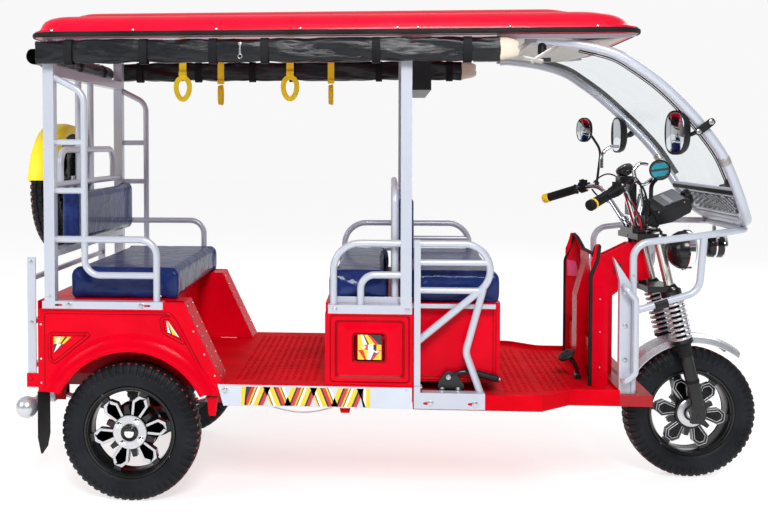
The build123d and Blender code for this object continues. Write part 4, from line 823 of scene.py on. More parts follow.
# --- Hand straps ------------------------------------------------------------------------------
def hand_strap(shape, place, y, facing):
    """A webbing loop on its sewn tab: seen open where facing is true, else twisted and edge on."""
    wide, thick = (AHEAD, LEFT) if facing else (LEFT, -AHEAD)
    middle = at(place, y, 0)
    tab = ((-13.5, -1.3), (13.5, -1.3), (13.5, 1.3), (-13.5, 1.3))
    shape.rows([[at(place + a, y + b, z) for a, b in tab] for z in (1654, 1640, 1600, 1560, 1545)])
    loop, rows = [], []
    for c, s in circle(1, 40):
        c, s = -s, c
        loop.append(middle + (wide * c * (25 + 3 * s) + UP * (1490 + s * 40)) * MM)
    for index, point in enumerate(loop + loop[:1]):
        out = along(loop, index % 40, True).cross(thick)
        twist = 0.0 if facing else 1.35 + 0.3 * math.sin(2 * math.pi * index / 40)
        flat = out * math.cos(twist) + thick * math.sin(twist)
        edge = thick * math.cos(twist) - out * math.sin(twist)
        rows.append([point + (flat * a + edge * b) * MM
                     for a, b in ((-9.5, -1.7), (9.5, -1.7), (9.5, 1.7), (-9.5, 1.7))])
    shape.rows(rows, caps=False)
    shape.block(at(place - 13, y - 13, 1537), at(place + 13, y + 13, 1552), 1)


def fit_hand_straps():
    """Yellow webbing loops on two cross rails, with the rails' screws."""
    shape, rail = Shape(), Shape()
    for place, sign, facing in ((156, -1, True), (215, 1, False), (558, -1, True), (681, 1, False)):
        hand_strap(shape, place, 250 * sign, facing)
    for place in (170, 620):
        rail.block(at(place - 60, -438, 1655.3), at(place + 75, 438, 1660.7))
        for offset in (-52.2, 65.7):
            for sign in (-1, 1):
                shape.dome(at(place + offset, sign * 425, 1655), -UP, 4.5, 2)
    shape.make("hand_strap_loops", "body", [YELLOW, YELLOW, STEEL], "strap", bevel=0.6,
               replaces=("hand_straps",))
    rail.make("hand_strap_rails", "body", [POWDER], "tube_paint", bevel=1, replaces=("hand_straps",))


# --- Roof -------------------------------------------------------------------------------------
# The canopy's rings from its lip to its top: insets at the rear, front and sides, height and corner radius
CANOPY = [(5, 5, 5, 0.4, 106), (0, 0, 0, 0.4, 110), (0, 0, 0, 21, 110), (14, 22, 2, 25.5, 108),
          (20, 31, 4, 32, 106), (25, 40, 10, 46, 104), (33, 55, 19, 58, 100), (47, 84, 33, 68, 98),
          (62, 120, 56, 75, 96), (80, 165, 90, 79, 90), (99, 176, 150, 80.5, 70), (106, 190, 158, 85, 66),
          (120, 214, 168, 94, 64), (142, 252, 188, 102, 62), (190, 330, 240, 108.5, 60),
          (320, 500, 330, 114, 60), (600, 800, 430, 117.5, 50)]


def fit_roof():
    """The moulded canopy, the black edging round it, its screws and the liner under its front."""
    low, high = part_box("roof_shell")

    def ring(rear, front, side, lift, corner):
        (x0, y0), (x1, y1) = (low.x + rear * MM, low.y + side * MM), (high.x - front * MM, high.y - side * MM)
        level = low.z + lift * MM
        return rounded([Vector((x, y, level)) for x, y in ((x0, y0), (x1, y0), (x1, y1), (x0, y1))],
                       corner, 12, True)

    shell, edge, screws, tray, rails = (Shape() for _ in range(5))
    shell.rows([ring(*level) for level in CANOPY])
    shell.make("canopy", "body", [ROOF_RED], "roof_paint", replaces=("roof_shell",), angle=75)
    edge.sweep(ring(-3, -3, -3, 7.5, 112), oval(5.5, 8.8, 2.6, 14), 0, UP, True)
    edge.make("roof_edging", "body", [RUBBER], "rubber", angle=50)
    level = low.z + 20.5 * MM
    for sign, y in ((-1, low.y), (1, high.y)):
        for x in (-250, 38, 330, 620, 952, 1021, 1330, 1620):
            screws.dome(Vector((at(x, 0, 0).x, y - sign * 1.5 * MM, level)), (0, sign, 0), 5.5)
    for y in (-350, 0, 350):
        screws.dome(Vector((high.x - 2 * MM, y * MM, level)), AHEAD, 4.5)
        screws.dome(Vector((low.x + 2 * MM, y * MM, level)), -AHEAD, 4.5)
    screws.make("roof_screws", "body", [CHROME], "chrome")
    tray.rows([spots((x, -half, z), (x, half, z), (x, half, z + 3), (x, -half, z + 3)) for x, half, z in
               ((1340, 470, 1652), (1500, 470, 1640), (1600, 466, 1634), (1690, 455, 1640),
                (1755, 430, 1657))])
    tray.make("roof_front_liner", "body", [BEIGE], "liner", bevel=1)
    for sign in (-1, 1):
        rails.plate(sign * 476, [(1290, 1657), (1752, 1657), (1756, 1646), (1700, 1641),
                                 (1290, 1641)], sign * 6)
    rails.make("roof_front_rails", "body", [POWDER], "tube_paint", bevel=1)


# --- Rear body --------------------------------------------------------------------------------
BAND_COLOURS = "ywrk"


def bead(shape, points, y, sign, wide=9, tall=4.2, closed=False):
    """A pressed ridge along (x, z) points on a side panel, on a strip of painted shade along its foot."""
    path = rounded(upright(sign * y, points), 12, 4, closed)
    ridge = [(-wide * 0.5, 0), (-wide * 0.3, tall * 0.75), (0, tall), (wide * 0.3, tall * 0.75),
             (wide * 0.5, 0), (0, -1)]
    strip = [(-wide * 0.85, 0), (-wide * 0.85, 0.5), (wide * 0.85, 0.5), (wide * 0.85, 0)]
    out = LEFT * sign
    for mark, section in enumerate((ridge, strip)):
        rows = []
        for index, point in enumerate(path):
            across = along(path, index, closed).cross(out).normalized()
            rows.append([point + (across * a + out * b) * MM for a, b in section])
        shape.rows(rows + rows[:1] if closed else rows, mark, True, not closed)


def stripes(shape, corners, y, sign, bands):
    """A flat sticker: four (x, z) corners cut into bands, each a colour's initial and its width."""
    a, b, c, d = upright(sign * y, corners)
    bands = [(float(band[1:]), BAND_COLOURS.index(band[0])) for band in bands.split()]
    total = sum(wide for wide, _ in bands)
    place = 0.0
    for wide, mark in bands:
        t, u = place / total, (place + wide) / total
        shape.slab([a.lerp(b, t), a.lerp(b, u), d.lerp(c, u), d.lerp(c, t)], (0, sign * 0.6, 0), mark)
        place += wide


def slot(shape, x, y, z, sign, outer, inner, power, shift):
    """A slot drawn flat: a black oval as painted shade for the opening, with a red end showing in it."""
    for (wide, tall), sides, move, lift, thick, mark in ((outer, 24, 0, 0, 0.6, 1),
                                                         (inner, 20, shift, 0.6, 0.3, 2)):
        outline = [(x + move + a, z + b) for a, b in oval(wide, tall, power, sides)]
        shape.plate(sign * (y + lift), outline, sign * thick, mark)


def arc(start, reach, steps):
    """The cosines and sines of an arc, from a start over a reach in degrees."""
    angles = [math.radians(start + step * reach / steps) for step in range(steps + 1)]
    return [(math.cos(angle), math.sin(angle)) for angle in angles]


def fit_rear_body(side, sign):
    """One side's pressed ridges, flange, rivets, rail bolts, stickers, lugs and wheel arch lip."""
    skin, out = 476, LEFT * sign
    ridges, rivets, rail, stuck, lugs, hoop = (Shape() for _ in range(6))
    # Each ridge sits on a strip of the darker red, painted shade along its foot
    bead(ridges, [(-283, 606), (-136, 606), (-268, 500), (-283, 520)], skin, sign, closed=True)
    bead(ridges, [(122, 668), (160, 668), (206, 577), (128, 618)], skin, sign, closed=True)
    bead(ridges, [(-306, 412), (-306, 684), (150, 684), (172, 660), (280, 455)], skin, sign, 8, 3)
    bead(ridges, [(-318, 400), (-318, 692)], skin, sign, 6, 2.6)
    ridges.plate(sign * 476.2, [(204, 722), (337, 443), (312, 443), (182, 716)], sign * 2.2)
    ridges.plate(sign * 476.2, [(-322, 398), (-306, 398), (-306, 690), (-322, 690)], sign * 1.8)
    ridges.make(f"rear_body_ridges_{side}", "body", [RED, PAINTED_SHADE_RED], "body_paint", bevel=0.6)

    for x, z in ((276, 541), (313, 466), (238, 622), (-314, 516), (-314, 640), (-314, 430)):
        rivets.dome(at(x, sign * 478, z), out, 4.2)
    for step in range(8):
        edge = at(204, 0, 724).lerp(at(337, 0, 441), (step + 0.5) / 8)
        for y in (455, 368):
            rivets.dome(edge + Vector((1, sign * y, 1)) * MM, (0.9, 0, 0.42), 3.8)
    rivets.make(f"rear_body_rivets_{side}", "body", [STEEL], "spring_steel")

    # The slots' black ovals are painted shade for the openings
    for x, shift in ((-249, 6), (69, -2)):
        slot(rail, x, 477.1, 710, sign, (14, 3.6), (7, 3.0), 2.6, shift)
    for x in (-211, 51):
        rail.bolt(at(x, sign * 477.2, 710), out, 6.5)
    for z in (742, 1648):
        rail.dome(at(-281, sign * 477.2, z), out)
    rail.dome(at(120, sign * 470.4, 745), out, 3.5)
    rail.make(f"rear_rail_bolts_{side}", "body", [STEEL, BLACK_PAINT, RED], "spring_steel")

    stripes(stuck, [(-268, 596), (-204, 596), (-232, 570), (-268, 570)], 476.3, sign, "y1 w1 y1 k0.7 y1")
    stripes(stuck, [(-268, 569), (-233, 569), (-264, 541), (-268, 541)], 476.3, sign, "k1 w1.4 k0.6")
    stripes(stuck, [(141, 657), (146, 657), (186, 600), (144, 618)], 476.3, sign, "w1 k0.6 y1.6 w0.6")
    stuck.make(f"rear_body_stickers_{side}", "body", STICKERS, "body_paint")

    for x, wide, low in ((300, 20, 318), (772, 26, 338)):
        outline = [(x - wide, 386), (x + wide, 386), (x + wide * 0.6, low), (x - wide * 0.6, low)]
        lugs.plate(sign * 462, outline, -sign * 8)
    lugs.block(at(346, sign * 478, 400), at(352, sign * 440, 436))
    lugs.make(f"rear_body_lugs_{side}", "body", [RED], "body_paint", bevel=2)

    lip = [at(8 + c * 284, sign * 489, 266 + s * 284) for c, s in arc(-16, 212, 48)]
    hoop.sweep([p for p in lip if p.z > 0.398], circle(2.8, 8))
    flare = [(281, 476), (281, 486), (284, 490.5), (296, 491), (312, 488), (326, 482), (334, 476)]
    hoop.rows([[at(8 + c * r, sign * y, 266 + s * r) for r, y in flare] for c, s in arc(26, 128, 60)],
              0, False, False)
    hoop.make(f"arch_lip_{side}", "body", [RED], "body_paint")


# --- Bench box, sill and guards ---------------------------------------------------------------
# The bench's side panel in rings from its rim inwards: two corners, depth, and whether its ring is shaded
PANEL_RINGS = [((718, 450), (998, 688), 476.2, 1), ((724, 456), (992, 682), 480.6, 0),
               ((736, 467), (980, 671), 480.8, 1), ((746, 476), (970, 662), 476.4, 0),
               ((784, 510), (930, 638), 481.6, 0), ((796, 521), (918, 627), 482.2, 1),
               ((804, 527), (910, 621), 477.4, 0), ((808, 531), (906, 617), 477.4, 0)]


def fit_bench(side, sign):
    """One side of the bench: embossed panels, their sticker, seat rails, and the sill's bolts and band."""
    out = LEFT * sign
    panel, stuck, front, rails, plate, band = (Shape() for _ in range(6))
    rows = [rounded(upright(sign * y, ((x0, z0), (x1, z0), (x1, z1), (x0, z1))), 14, 5, True)
            for (x0, z0), (x1, z1), y, _ in PANEL_RINGS]
    # The steep walls between the rings take the darker red as painted shade
    for index in range(len(rows) - 1):
        panel.rows(rows[index:index + 2], PANEL_RINGS[index][3], True, index == len(rows) - 2)
    panel.make(f"bench_panel_{side}", "body", [RED, PAINTED_SHADE_RED], "body_paint", angle=60)

    y = 478.0
    stripes(stuck, [(817, 619), (862, 619), (899, 585), (817, 585)], y, sign, "y1 w0.9 k0.4 y1.2 r0.8 k0.4")
    stripes(stuck, [(817, 585), (899, 585), (899, 566), (817, 566)], y, sign, "y1.4 r0.5 w1 k0.6 y0.9")
    stripes(stuck, [(817, 566), (899, 566), (870, 532), (840, 532)], y, sign, "r1 y0.8 w1.3 k0.3 r0.9")
    for corners, mark in ((((817, 566), (840, 532), (817, 532)), STICKER_YELLOW),
                          (((899, 566), (899, 532), (870, 532)), STICKER_YELLOW),
                          (((862, 619), (899, 619), (899, 585)), STICKER_BLACK)):
        stuck.plate(sign * y, corners, sign * 0.6, mark)
    for x, z in ((826, 575), (846, 552), (872, 560)):
        chip = [(x + a, z + b) for a, b in ((0, 0), (13, 5), (22, 2), (11, -4))]
        stuck.plate(sign * (y + 0.6), chip, sign * 0.4, STICKER_WHITE)
    stuck.make(f"bench_sticker_{side}", "body", STICKERS, "body_paint")

    # These ridges sit on strips of painted shade
    bead(front, [(1026, 452), (1026, 706), (1296, 706), (1296, 452)], 400, sign, 8, 3, True)
    bead(front, [(1010, 441), (1010, 722)], 400, sign, 6, 2)
    front.make(f"bench_front_panel_{side}", "body", [RED, PAINTED_SHADE_RED], "body_paint")

    rails.block(at(742, sign * 437.5, 724.4), at(1006, sign * 431, 746))
    rails.block(at(720, sign * 438.6, 708), at(1296, sign * 433, 723.6))
    rails.bolt(at(962, sign * 437.6, 735), out, 5, 1)
    for x in (736, 988):
        rails.bolt(at(x, sign * 477.2, 707), out, 5.5, 1)
    rails.make(f"seat_rail_{side}", "body", [POWDER, STEEL], "tube_paint", bevel=0.8)

    # The slots' black ovals are painted shade for the openings
    for x in (1061, 1214):
        slot(plate, x, 487.1, 384, sign, (17, 5), (11, 4), 2.4, -4)
        plate.bolt(at(x + 8, sign * 487.8, 384), out, 6.5)
    plate.bolt(at(350, sign * 484.2, 416), out, 7)
    for x in (640, 985):
        plate.dome(at(x, sign * 484.2, 428), out, 4)
    plate.make(f"sill_bolts_{side}", "body", [STEEL, BLACK_PAINT, RED], "spring_steel")

    widths = [(16.72, STICKER_YELLOW), (6.84, STICKER_BLACK), (12.16, STICKER_RED), (6.08, STICKER_YELLOW),
              (3.8, STICKER_BLACK), (9.12, STICKER_WHITE)]
    edge, index = 408.0, 0
    while edge < 858:
        wide, mark = widths[index % len(widths)]
        stop = min(edge + wide, 860)
        lean = 13 if (index // 9) % 2 == 0 else -13
        lean_edge, lean_stop = (lean if 430 < x < 836 else 0 for x in (edge, stop))
        outline = [(edge - lean_edge, 366), (stop - lean_stop, 366), (stop + lean_stop, 431),
                   (edge + lean_edge, 431)]
        band.plate(sign * 484.3, outline, sign * 0.5, mark)
        edge = stop
        index += 1
    band.make(f"sill_band_{side}", "body", STICKERS, "sill_paint")


def fit_under():
    """The hanging chain, the lenses, and the bolts on the carrier's posts and the bumper."""
    chain, lamps = Shape(), Shape()
    links = 34
    for index in range(links):
        t = index / (links - 1)
        place = at(520 + 200 * t, -452, 352 - 17 * math.sin(math.pi * t))
        lie = LEFT if index % 2 else UP
        chain.sweep([place + (AHEAD * c * 4.6 + lie * s * 2.6) * MM for c, s in circle(1)],
                    circle(0.9, 6), closed=True)
    chain.make("sill_chain", "body", [STEEL], "spring_steel")
    for sign in (-1, 1):
        lamps.slab([at(-340.2, sign * 370 + a, 585 + b) for a, b in oval(47, 22, 6, 32)], (-1.8, 0, 0), 1)
        for edge, mark in ((-16, 0), (16, 2)):
            lamps.slab([at(-342, sign * 370 + edge + a, 585 + b) for a, b in oval(13, 17, 4, 20)],
                       (-2, 0, 0), mark)
        lamps.bolt(at(-382, sign * 380, 345), UP, 6, 1)
        for z in (420, 640, 860):
            lamps.bolt(at(-359, sign * 446.4, z), (0, sign, 0), 5, 1)
        for y in (330, 410):
            lamps.bolt(at(-329.4, sign * y, 352), -AHEAD, 5, 1)
    lamps.make("rear_dressing", "body", [RED_LENS, STEEL, STICKERS[STICKER_YELLOW]], "lamp_red")


# --- Floors -----------------------------------------------------------------------------------
def fit_floors():
    """Raised lozenges over the two floors and the rolled edges of the driver's floor."""
    tread, lip = Shape(), Shape()
    pitch = 25
    for low_x, high_x, half, level in ((372, 690, 424, 441.2), (1330, 1470, 380, 403.2),
                                       (1470, 1640, 350, 403.2)):
        for i in range(int((high_x - low_x) / pitch)):
            for j in range(int(2 * half / pitch)):
                x, y = low_x + (i + 0.5) * pitch, -half + (j + 0.5) * pitch
                turn = math.radians(45 if (i + j) % 2 else -45)
                c, s = math.cos(turn), math.sin(turn)
                tread.rows([[at(x + a * c - b * s, y + a * s + b * c, level + lift)
                             for a, b in ((long, 0), (0, wide), (-long, 0), (0, -wide))]
                            for long, wide, lift in ((10, 2.8, 0), (7, 1.4, 1.8))])
    tread.make("floor_lozenges", "body", [FLOOR_RED], "body_paint")
    for sign in (1, -1):
        edge = spots(*((x, sign * y, 416)
                       for x, y in ((1342, -480), (1449, -480), (1560, -384.5), (1733, -384.5))))
        lip.sweep(rounded(edge, 30, 5), circle(3.6, 10))
    lip.make("driver_floor_lip", "body", [RED], "body_paint")


# --- Windshield and lower screen ---------------------------------------------------------------
SCREEN_TUBE = [(1446, 430, 1638), (1576, 460, 1621), (1684, 482, 1589), (1763, 490, 1540), (1845, 490, 1478),
               (1931, 475, 1396), (1994, 452, 1329), (2060, 425, 1246), (2114, 388, 1150)]
STRUTS = [((1332, 1580), (1407, 1636)), ((1410, 1565), (1512, 1628)), ((1382, 1580), (1450, 1566))]


def off(x, y, z):
    """A step in millimetres."""
    return Vector((x, y, z)) * MM


def screen_line(sign):
    """The middle line of one side of the windshield's tube."""
    return [at(x, sign * y, z) for x, y, z in SCREEN_TUBE]


def fit_screen():
    """The windshield's tubes, rubber seals, folding struts and latches."""
    seal, metal, tubes, dark = (Shape() for _ in range(4))
    for sign, away, wide in ((1, 22, 9), (-1, -17, 2.2), (-1, -23, 1.4)):
        path = through(screen_line(sign)[1:], 5)
        moved = []
        for index, point in enumerate(path):
            ahead = along(path, index)
            normal = Vector((-ahead.z, 0, ahead.x)).normalized()
            moved.append(point + normal * away * MM + off(0, -sign * 18, 0))
        seal.sweep(moved, oval(wide, 3, 4, 12), 0, LEFT)
    seal.sweep(spots((2116, -362, 1112), (2116, 352, 1112)), [(-4, -7), (4, -7), (4, 7), (-4, 7)], 0, UP)
    seal.make("windshield_seals", "body", [RUBBER], "rubber", angle=60)
    for sign in (-1, 1):
        a, b = screen_line(sign)[7:]
        run = (b - a).normalized()
        metal.lathe(a + run * 12 * MM, run, [(17.4, -1), (19.6, 0), (19.6, 24), (17.4, 26)], 24)
        metal.bolt(a + run * 24 * MM + off(-6, sign * 18.6, 0), (-0.3, sign, 0))
        for ends in STRUTS if sign < 0 else ():
            ends = upright(sign * 446, ends)
            metal.sweep(ends, oval(2.6, 8, 5, 12), 0, UP)
            for end in ends:
                metal.dome(end + off(0, sign * 2.4, 0), (0, sign, 0), 4)
        metal.block(at(1388, sign * 452, 1630), at(1428, sign * 436, 1650))
    metal.make("windshield_brackets", "body", [DULL_STEEL], "chrome", bevel=0.6)
    for sign in (-1, 1):
        foot = spots((2166, sign * 335, 1051), (2205, sign * 235, 1004), (2207, 0, 1003))
        tubes.sweep(through([at(1400, sign * 430, 1638)] + screen_line(sign) + foot, 8), circle(17, 24))
        for y in (-155, 155):
            tubes.rod(at(2207, y, 988), at(2207, y, 1004), 15)
    tubes.rod(at(2129, -372, 1118), at(2129, 372, 1118), 11, 20)
    tubes.make("windshield_tubes", "body", [POWDER], "tube_paint", replaces=("windshield_frame",), angle=60)
    dark.lathe(at(1449, -433, 1590), UP, [(12, 0), (15, 3), (15, 38), (12, 42)], 20)
    dark.block(at(1424, -441, 1566), at(1478, -426, 1580))
    dark.lathe(at(2147, -196, 1132), (1, 0, 0.1), [(16, 0), (24, 8), (24, 34), (17, 44)], 24)
    dark.rod(at(2128, -196, 1126), at(2150, -196, 1131), 9)
    dark.make("windshield_latches", "body", [BLACK_PLASTIC], "black_plastic", bevel=1)


def fit_lower_screen():
    """The lower screen's scattered raised chips, its rails and bolts."""
    screen = Shape()
    down, out = Vector((0.555, 0, -0.832)), Vector((0.832, 0, 0.555))
    top = at(2131, 0, 1106)
    chips = 90
    for index in range(chips):
        t = ((index * 0.7548) % 1 + index) / chips
        depth = 16 + (index * 0.618) % 1 * 72
        c, s = math.cos(index * 2.4), math.sin(index * 2.4)
        place = top + (down * depth + LEFT * (t * 2 - 1) * (318 - depth * 0.95) - out * 3.4) * MM
        screen.slab([place + (LEFT * (a * c - b * s) + down * (a * s + b * c)) * MM
                     for a, b in ((-11, 0), (-1, 4.5), (10, 2), (2, -5))], out * 6.8, 1)
    for depth, radius in ((6, 5), (94, 7), (112, 8)):
        middle, half = top + down * depth * MM, LEFT * (335 - depth * 0.98) * MM
        screen.rod(middle - half, middle + half, radius, 12, 2)
    for y in (-200, 200):
        for depth in (12, 90):
            screen.bolt(top + (down * depth + LEFT * y - out * 2) * MM, -out, 5, 2)
    screen.make("screen_relief", "body", [EMBOSSED, STEEL, POWDER], "screen_metal")


# --- Mirrors -----------------------------------------------------------------------------------
def mirror_head(shape, centre, normal, wide, tall, deep, power=2.6):
    """A mirror's moulded shell with its glass set in: the shell is finish 0, the glass finish 1."""
    normal = Vector(normal).normalized()
    across = UP.cross(normal).normalized()
    over = normal.cross(across)
    outline = oval(wide / 2, tall / 2, power, 40)

    def level(scale, depth):
        """The outline at a scale, a depth behind the face."""
        return [centre + (across * a * scale + over * b * scale - normal * depth) * MM for a, b in outline]

    shell = ((0.9, 1.2), (0.93, 0), (1, 2.5), (1, deep * 0.4), (0.92, deep * 0.72),
             (0.7, deep * 0.93), (0.35, deep))
    shape.rows([level(*ring) for ring in shell])
    shape.rows([level(0.9, 1), level(0.885, 0.3)], 1)


def fit_screen_mirror(side, sign):
    """A mirror strapped to the windshield's tube."""
    shape = Shape()
    face = (Vector((-0.91, -0.41, 0)) if sign < 0 else Vector((-0.98, -0.2, 0))).normalized()
    centre = at(1895, sign * 440, 1322)
    mirror_head(shape, centre, face, 106, 152, 38)
    back = centre - face * 35 * MM
    shape.lathe(back, -face, [(15, -2), (13, 8), (8, 12)], 20)
    arm = [back - face * 6 * MM, at(1940, sign * 458, 1312), at(1978, sign * 479, 1334)]
    shape.sweep(rounded(arm, 15, 5), oval(7.5, 6, 2.6, 14))
    run = off(48, 0, 38).normalized()
    lift = Vector((0, sign, 0)).cross(run)
    strap = at(1985, sign * 476.8, 1341)
    shape.slab([strap + (run * a + lift * b) * MM for a, b in oval(38, 13, 4, 28)], (0, sign * 6, 0))
    for reach in (-26, 26):
        shape.bolt(strap + run * reach * MM + off(0, sign * 6, 0), (0, sign, 0), 5.5, 2)
    shape.make(f"screen_mirror_{side}", "body", [BLACK_PLASTIC, MIRROR, STEEL], "black_plastic",
               replaces=("mirrors",), angle=50)


def fit_bar_mirrors():
    """The tall mirror on the handlebar's left and the round one with its two teal halves."""
    shape = Shape()
    stem = spots((1773, 168, 1129), (1785, 154, 1262), (1745, 154, 1322), (1722, 151, 1336))
    shape.sweep(rounded(stem, 30, 8), circle(5, 14))
    shape.lathe(at(1773, 168, 1121), (0.09, -0.1, 1), [(9, 0), (9, 12), (6, 15)], 6)
    mirror_head(shape, at(1713, 150, 1343), (-0.8, -0.6, 0), 74, 98, 20, 2.5)
    shape.lathe(at(1722, 151, 1338), (0.6, 0.2, 0.6), [(9, -4), (10, 4), (7, 9)], 16)
    stem = spots((1918, -50, 1078), (1915, -62, 1128), (1925, -118, 1160))
    shape.sweep(rounded(stem, 20, 6), circle(8, 14))
    disc, face = at(1921, -137, 1184), Vector((-0.45, -0.89, 0)).normalized()
    mirror_head(shape, disc, face, 78, 78, 14, 2.0)
    across = UP.cross(face).normalized()
    for low, high in ((-24, -4), (5, 26)):
        half = []
        for side in (-1, 1):
            for step in range(9):
                v = low + (high - low) * (step / 8 if side < 0 else 1 - step / 8)
                u = side * math.sqrt(30 ** 2 - v ** 2)
                half.append(disc + (face * 0.4 + across * u + UP * (v + u * 0.14)) * MM)
        shape.slab(half, face * 0.5, 2)
    shape.make("bar_mirrors", "steering", [BLACK_PLASTIC, MIRROR, TEAL], "black_plastic", STEER,
               replaces=("handlebar_mirrors",), angle=50)


# --- Handlebar, console, cables and lamps ----------------------------------------------------------
def fit_grips():
    """Ribbed grips with yellow ends, switch housings and levers."""
    grips = Shape()
    for sign in (-1, 1):
        start, stop = at(1713, sign * 245.4, 1103.2), at(1600, sign * 350, 1058)
        run = (stop - start).normalized()
        length = (stop - start).length / MM
        profile = [(19, 0), (21, 3), (18, 6)]
        for step in range(16):
            place = 10 + step * (length - 50) / 16
            profile += [(18.2, place), (17.5, place + 2)]
        grips.lathe(start, run, profile + [(18, length - 34), (18, length - 30)], 28)
        tip = start + run * (length - 30) * MM
        if sign < 0:
            grips.lathe(tip, run, [(19.6, 0), (20.4, 2), (20.4, 9), (19.2, 10)], 28, 1)
            grips.lathe(tip + run * 10 * MM, run, [(18, 0), (20.2, 3), (20.2, 15), (14, 20)], 28)
        else:
            grips.lathe(tip, run, [(17.6, 0), (19.4, 3), (19.6, 22), (15, 29.5)], 28, 1)
        box = start - run * 30 * MM
        grips.lathe(box, run, [(17, -16), (22, -12), (23, 12), (17, 18)], 20)
        out = Vector((0.55, 0, 0.3)).normalized()
        grips.sweep([box + (out * a + run * b) * MM for a, b in ((16, 0), (36, 6), (46, 60), (40, 130))],
                    oval(5, 3.5, 2.6, 12))
        grips.block(box + off(-14, -12, 12), box + off(14, 12, 30))
        if sign > 0:
            grips.dome(box + off(-4, -6, 30), UP, 6, 2)
            grips.dome(box + off(-22, 0, 4), (-1, 0, 0.2), 6, 3)
            grips.lathe(box + off(-16, -4, 0), -AHEAD, [(8, 0), (8, 6), (5, 8)], 16, 2)
    grips.make("handlebar_grips", "steering", [RUBBER, YELLOW, BLUE, RED_LENS], "rubber", STEER, angle=35)


def fit_handlebar():
    """The chrome bar with its loops and risers, and the dark clamps that hold it."""
    chrome, dark = Shape(), Shape()
    for sign in (-1, 1):
        bar = spots((1862, sign * 58, 962), (1785, sign * 150, 1118), (1735, sign * 225, 1112),
                    (1612, sign * 339, 1063))
        chrome.sweep(rounded(bar, 50, 8), circle(11, 18))
    for loop in (((1848, -60, 1185), (1856, -60, 1150), (1884, -60, 1128), (1920, -60, 1150)),
                 ((1848, -60, 1185), (1872, -60, 1208), (1902, -60, 1206)),
                 ((1772, 100, 1190), (1776, 100, 1245), (1806, 100, 1272), (1840, 100, 1276))):
        chrome.sweep(through(spots(*loop), 8), circle(7.5, 14))
    for sign in (-1, 1):
        for place in ((1860, sign * 60, 973), (1854, sign * 60, 989)):
            chrome.lathe(at(*place), (-0.4, sign * 0.5, 0.76), [(15, -7), (15, 7)], 20)
        chrome.rod(at(1872, sign * 38, 950), at(1902, sign * 30, 1090), 6)
        chrome.rod(at(1905, sign * 52, 948), at(1880, sign * 44, 1110), 5)
    chrome.make("handlebar_chrome", "steering", [CHROME], "chrome", STEER, replaces=("handlebar",), angle=40)
    dark.lathe(at(1833, 0, 1183), (-0.5, -0.3, 0.8), [(20, -18), (34, -10), (34, 8), (26, 12)], 28)
    for low, high in (((1806, -30, 1130), (1862, 30, 1160)), ((1858, -62, 936), (1948, 62, 958)),
                      ((1842, -26, 1010), (1872, 26, 1130))):
        dark.block(at(*low), at(*high))
    dark.rod(at(1900, -56, 1010), at(1900, -56, 1070), 14)
    for x, y in ((1862, 62), (1862, -62), (1930, 98), (1930, -98)):
        dark.lathe(at(x, y, 940), UP, [(16, 0), (16, 14), (9, 17), (9, 24)], 12)
    dark.make("handlebar_clamps", "steering", [BLACK_PAINT], "black_metal", STEER, bevel=2)


def fit_console():
    """The tilted console with its smoked panel, lid, brackets and knob."""
    box = Shape()
    roll, raised = math.radians(17), Vector((-0.368, 0, 0.93))
    tilt = Vector((0.93, 0, 0.368))
    cross = LEFT * math.cos(roll) + raised * math.sin(roll)
    up = raised * math.cos(roll) - LEFT * math.sin(roll)
    corner = at(1940, 0, 990)

    def inside(a, b, c):
        """A point along the box, above its floor and across it."""
        return corner + (tilt * a + up * b + cross * c) * MM

    def lid(points, lift, thick, mark=0):
        """A slab lying across the box."""
        box.slab([inside(a, lift, b) for a, b in points], up * thick, mark)

    def wall(points, thick):
        """A slab standing at the box's near side."""
        box.slab([inside(a, b, -64) for a, b in points], cross * thick)

    wall([(4, 0), (50, -8), (128, 2), (140, 18), (140, 52), (128, 62), (36, 62), (-4, 48), (-6, 20)], 128)
    lid([(38, -58), (124, -58), (124, 58), (38, 58)], 62.4, 2.2, 1)
    lid([(66, -50), (82, -50), (82, 40), (66, 40)], 64.7, 0.5, 2)
    lid([(2, -52), (34, -56), (34, 56), (2, 52)], 51, 5)
    wall([(12, 12), (112, 12), (118, 50), (8, 44)], -1.2)
    for a in (12, 116):
        box.dome(inside(a, 52, -64), -cross, 3, 2)
    box.lathe(inside(140, 36, 0), tilt, [(25, 0), (29, 4), (29, 14), (32, 16), (32, 24), (24, 27)], 28)
    box.plate(-62, ((1896, 984), (1940, 962), (1962, 996), (1918, 1016)), 100)
    box.rod(at(1906, -70, 986), at(1906, -20, 986), 12)
    box.block(at(1905, -18, 945), at(1921, 18, 1000))
    box.make("console_box", "steering", [BLACK_PLASTIC, SMOKED, STEEL], "black_plastic", STEER, bevel=1.5,
             replaces=("console",))


# The points, diameter and finish of each cable between the bar, the console and the headstock
CABLES = {
    "brake_cable_right": ([(1768, -205, 1128), (1800, -190, 1160), (1846, -130, 1150), (1880, -84, 1070),
                           (1896, -66, 960)], 6, BLACK_PLASTIC),
    "throttle_cable": ([(1762, -212, 1112), (1782, -205, 1076), (1826, -150, 1040), (1864, -96, 1010),
                        (1884, -62, 962)], 5.5, BLACK_PLASTIC),
    "brake_cable_left": ([(1770, 205, 1130), (1806, 200, 1170), (1850, 140, 1160), (1890, 84, 1080),
                          (1904, 64, 960)], 6, BLACK_PLASTIC),
    "switch_wires_left": ([(1762, 214, 1110), (1784, 196, 1070), (1826, 150, 1050), (1862, 92, 1000),
                           (1880, 62, 960)], 7, BLACK_PLASTIC),
    "red_cable": ([(1792, -120, 1122), (1806, -112, 1096), (1836, -104, 1046), (1862, -98, 1000),
                   (1874, -74, 958)], 8, STICKERS[STICKER_RED]),
    "meter_wires": ([(1806, -128, 1092), (1842, -84, 1148), (1884, -58, 1126), (1908, -50, 1056),
                     (1914, -40, 1000)], 8, BLACK_PLASTIC)}


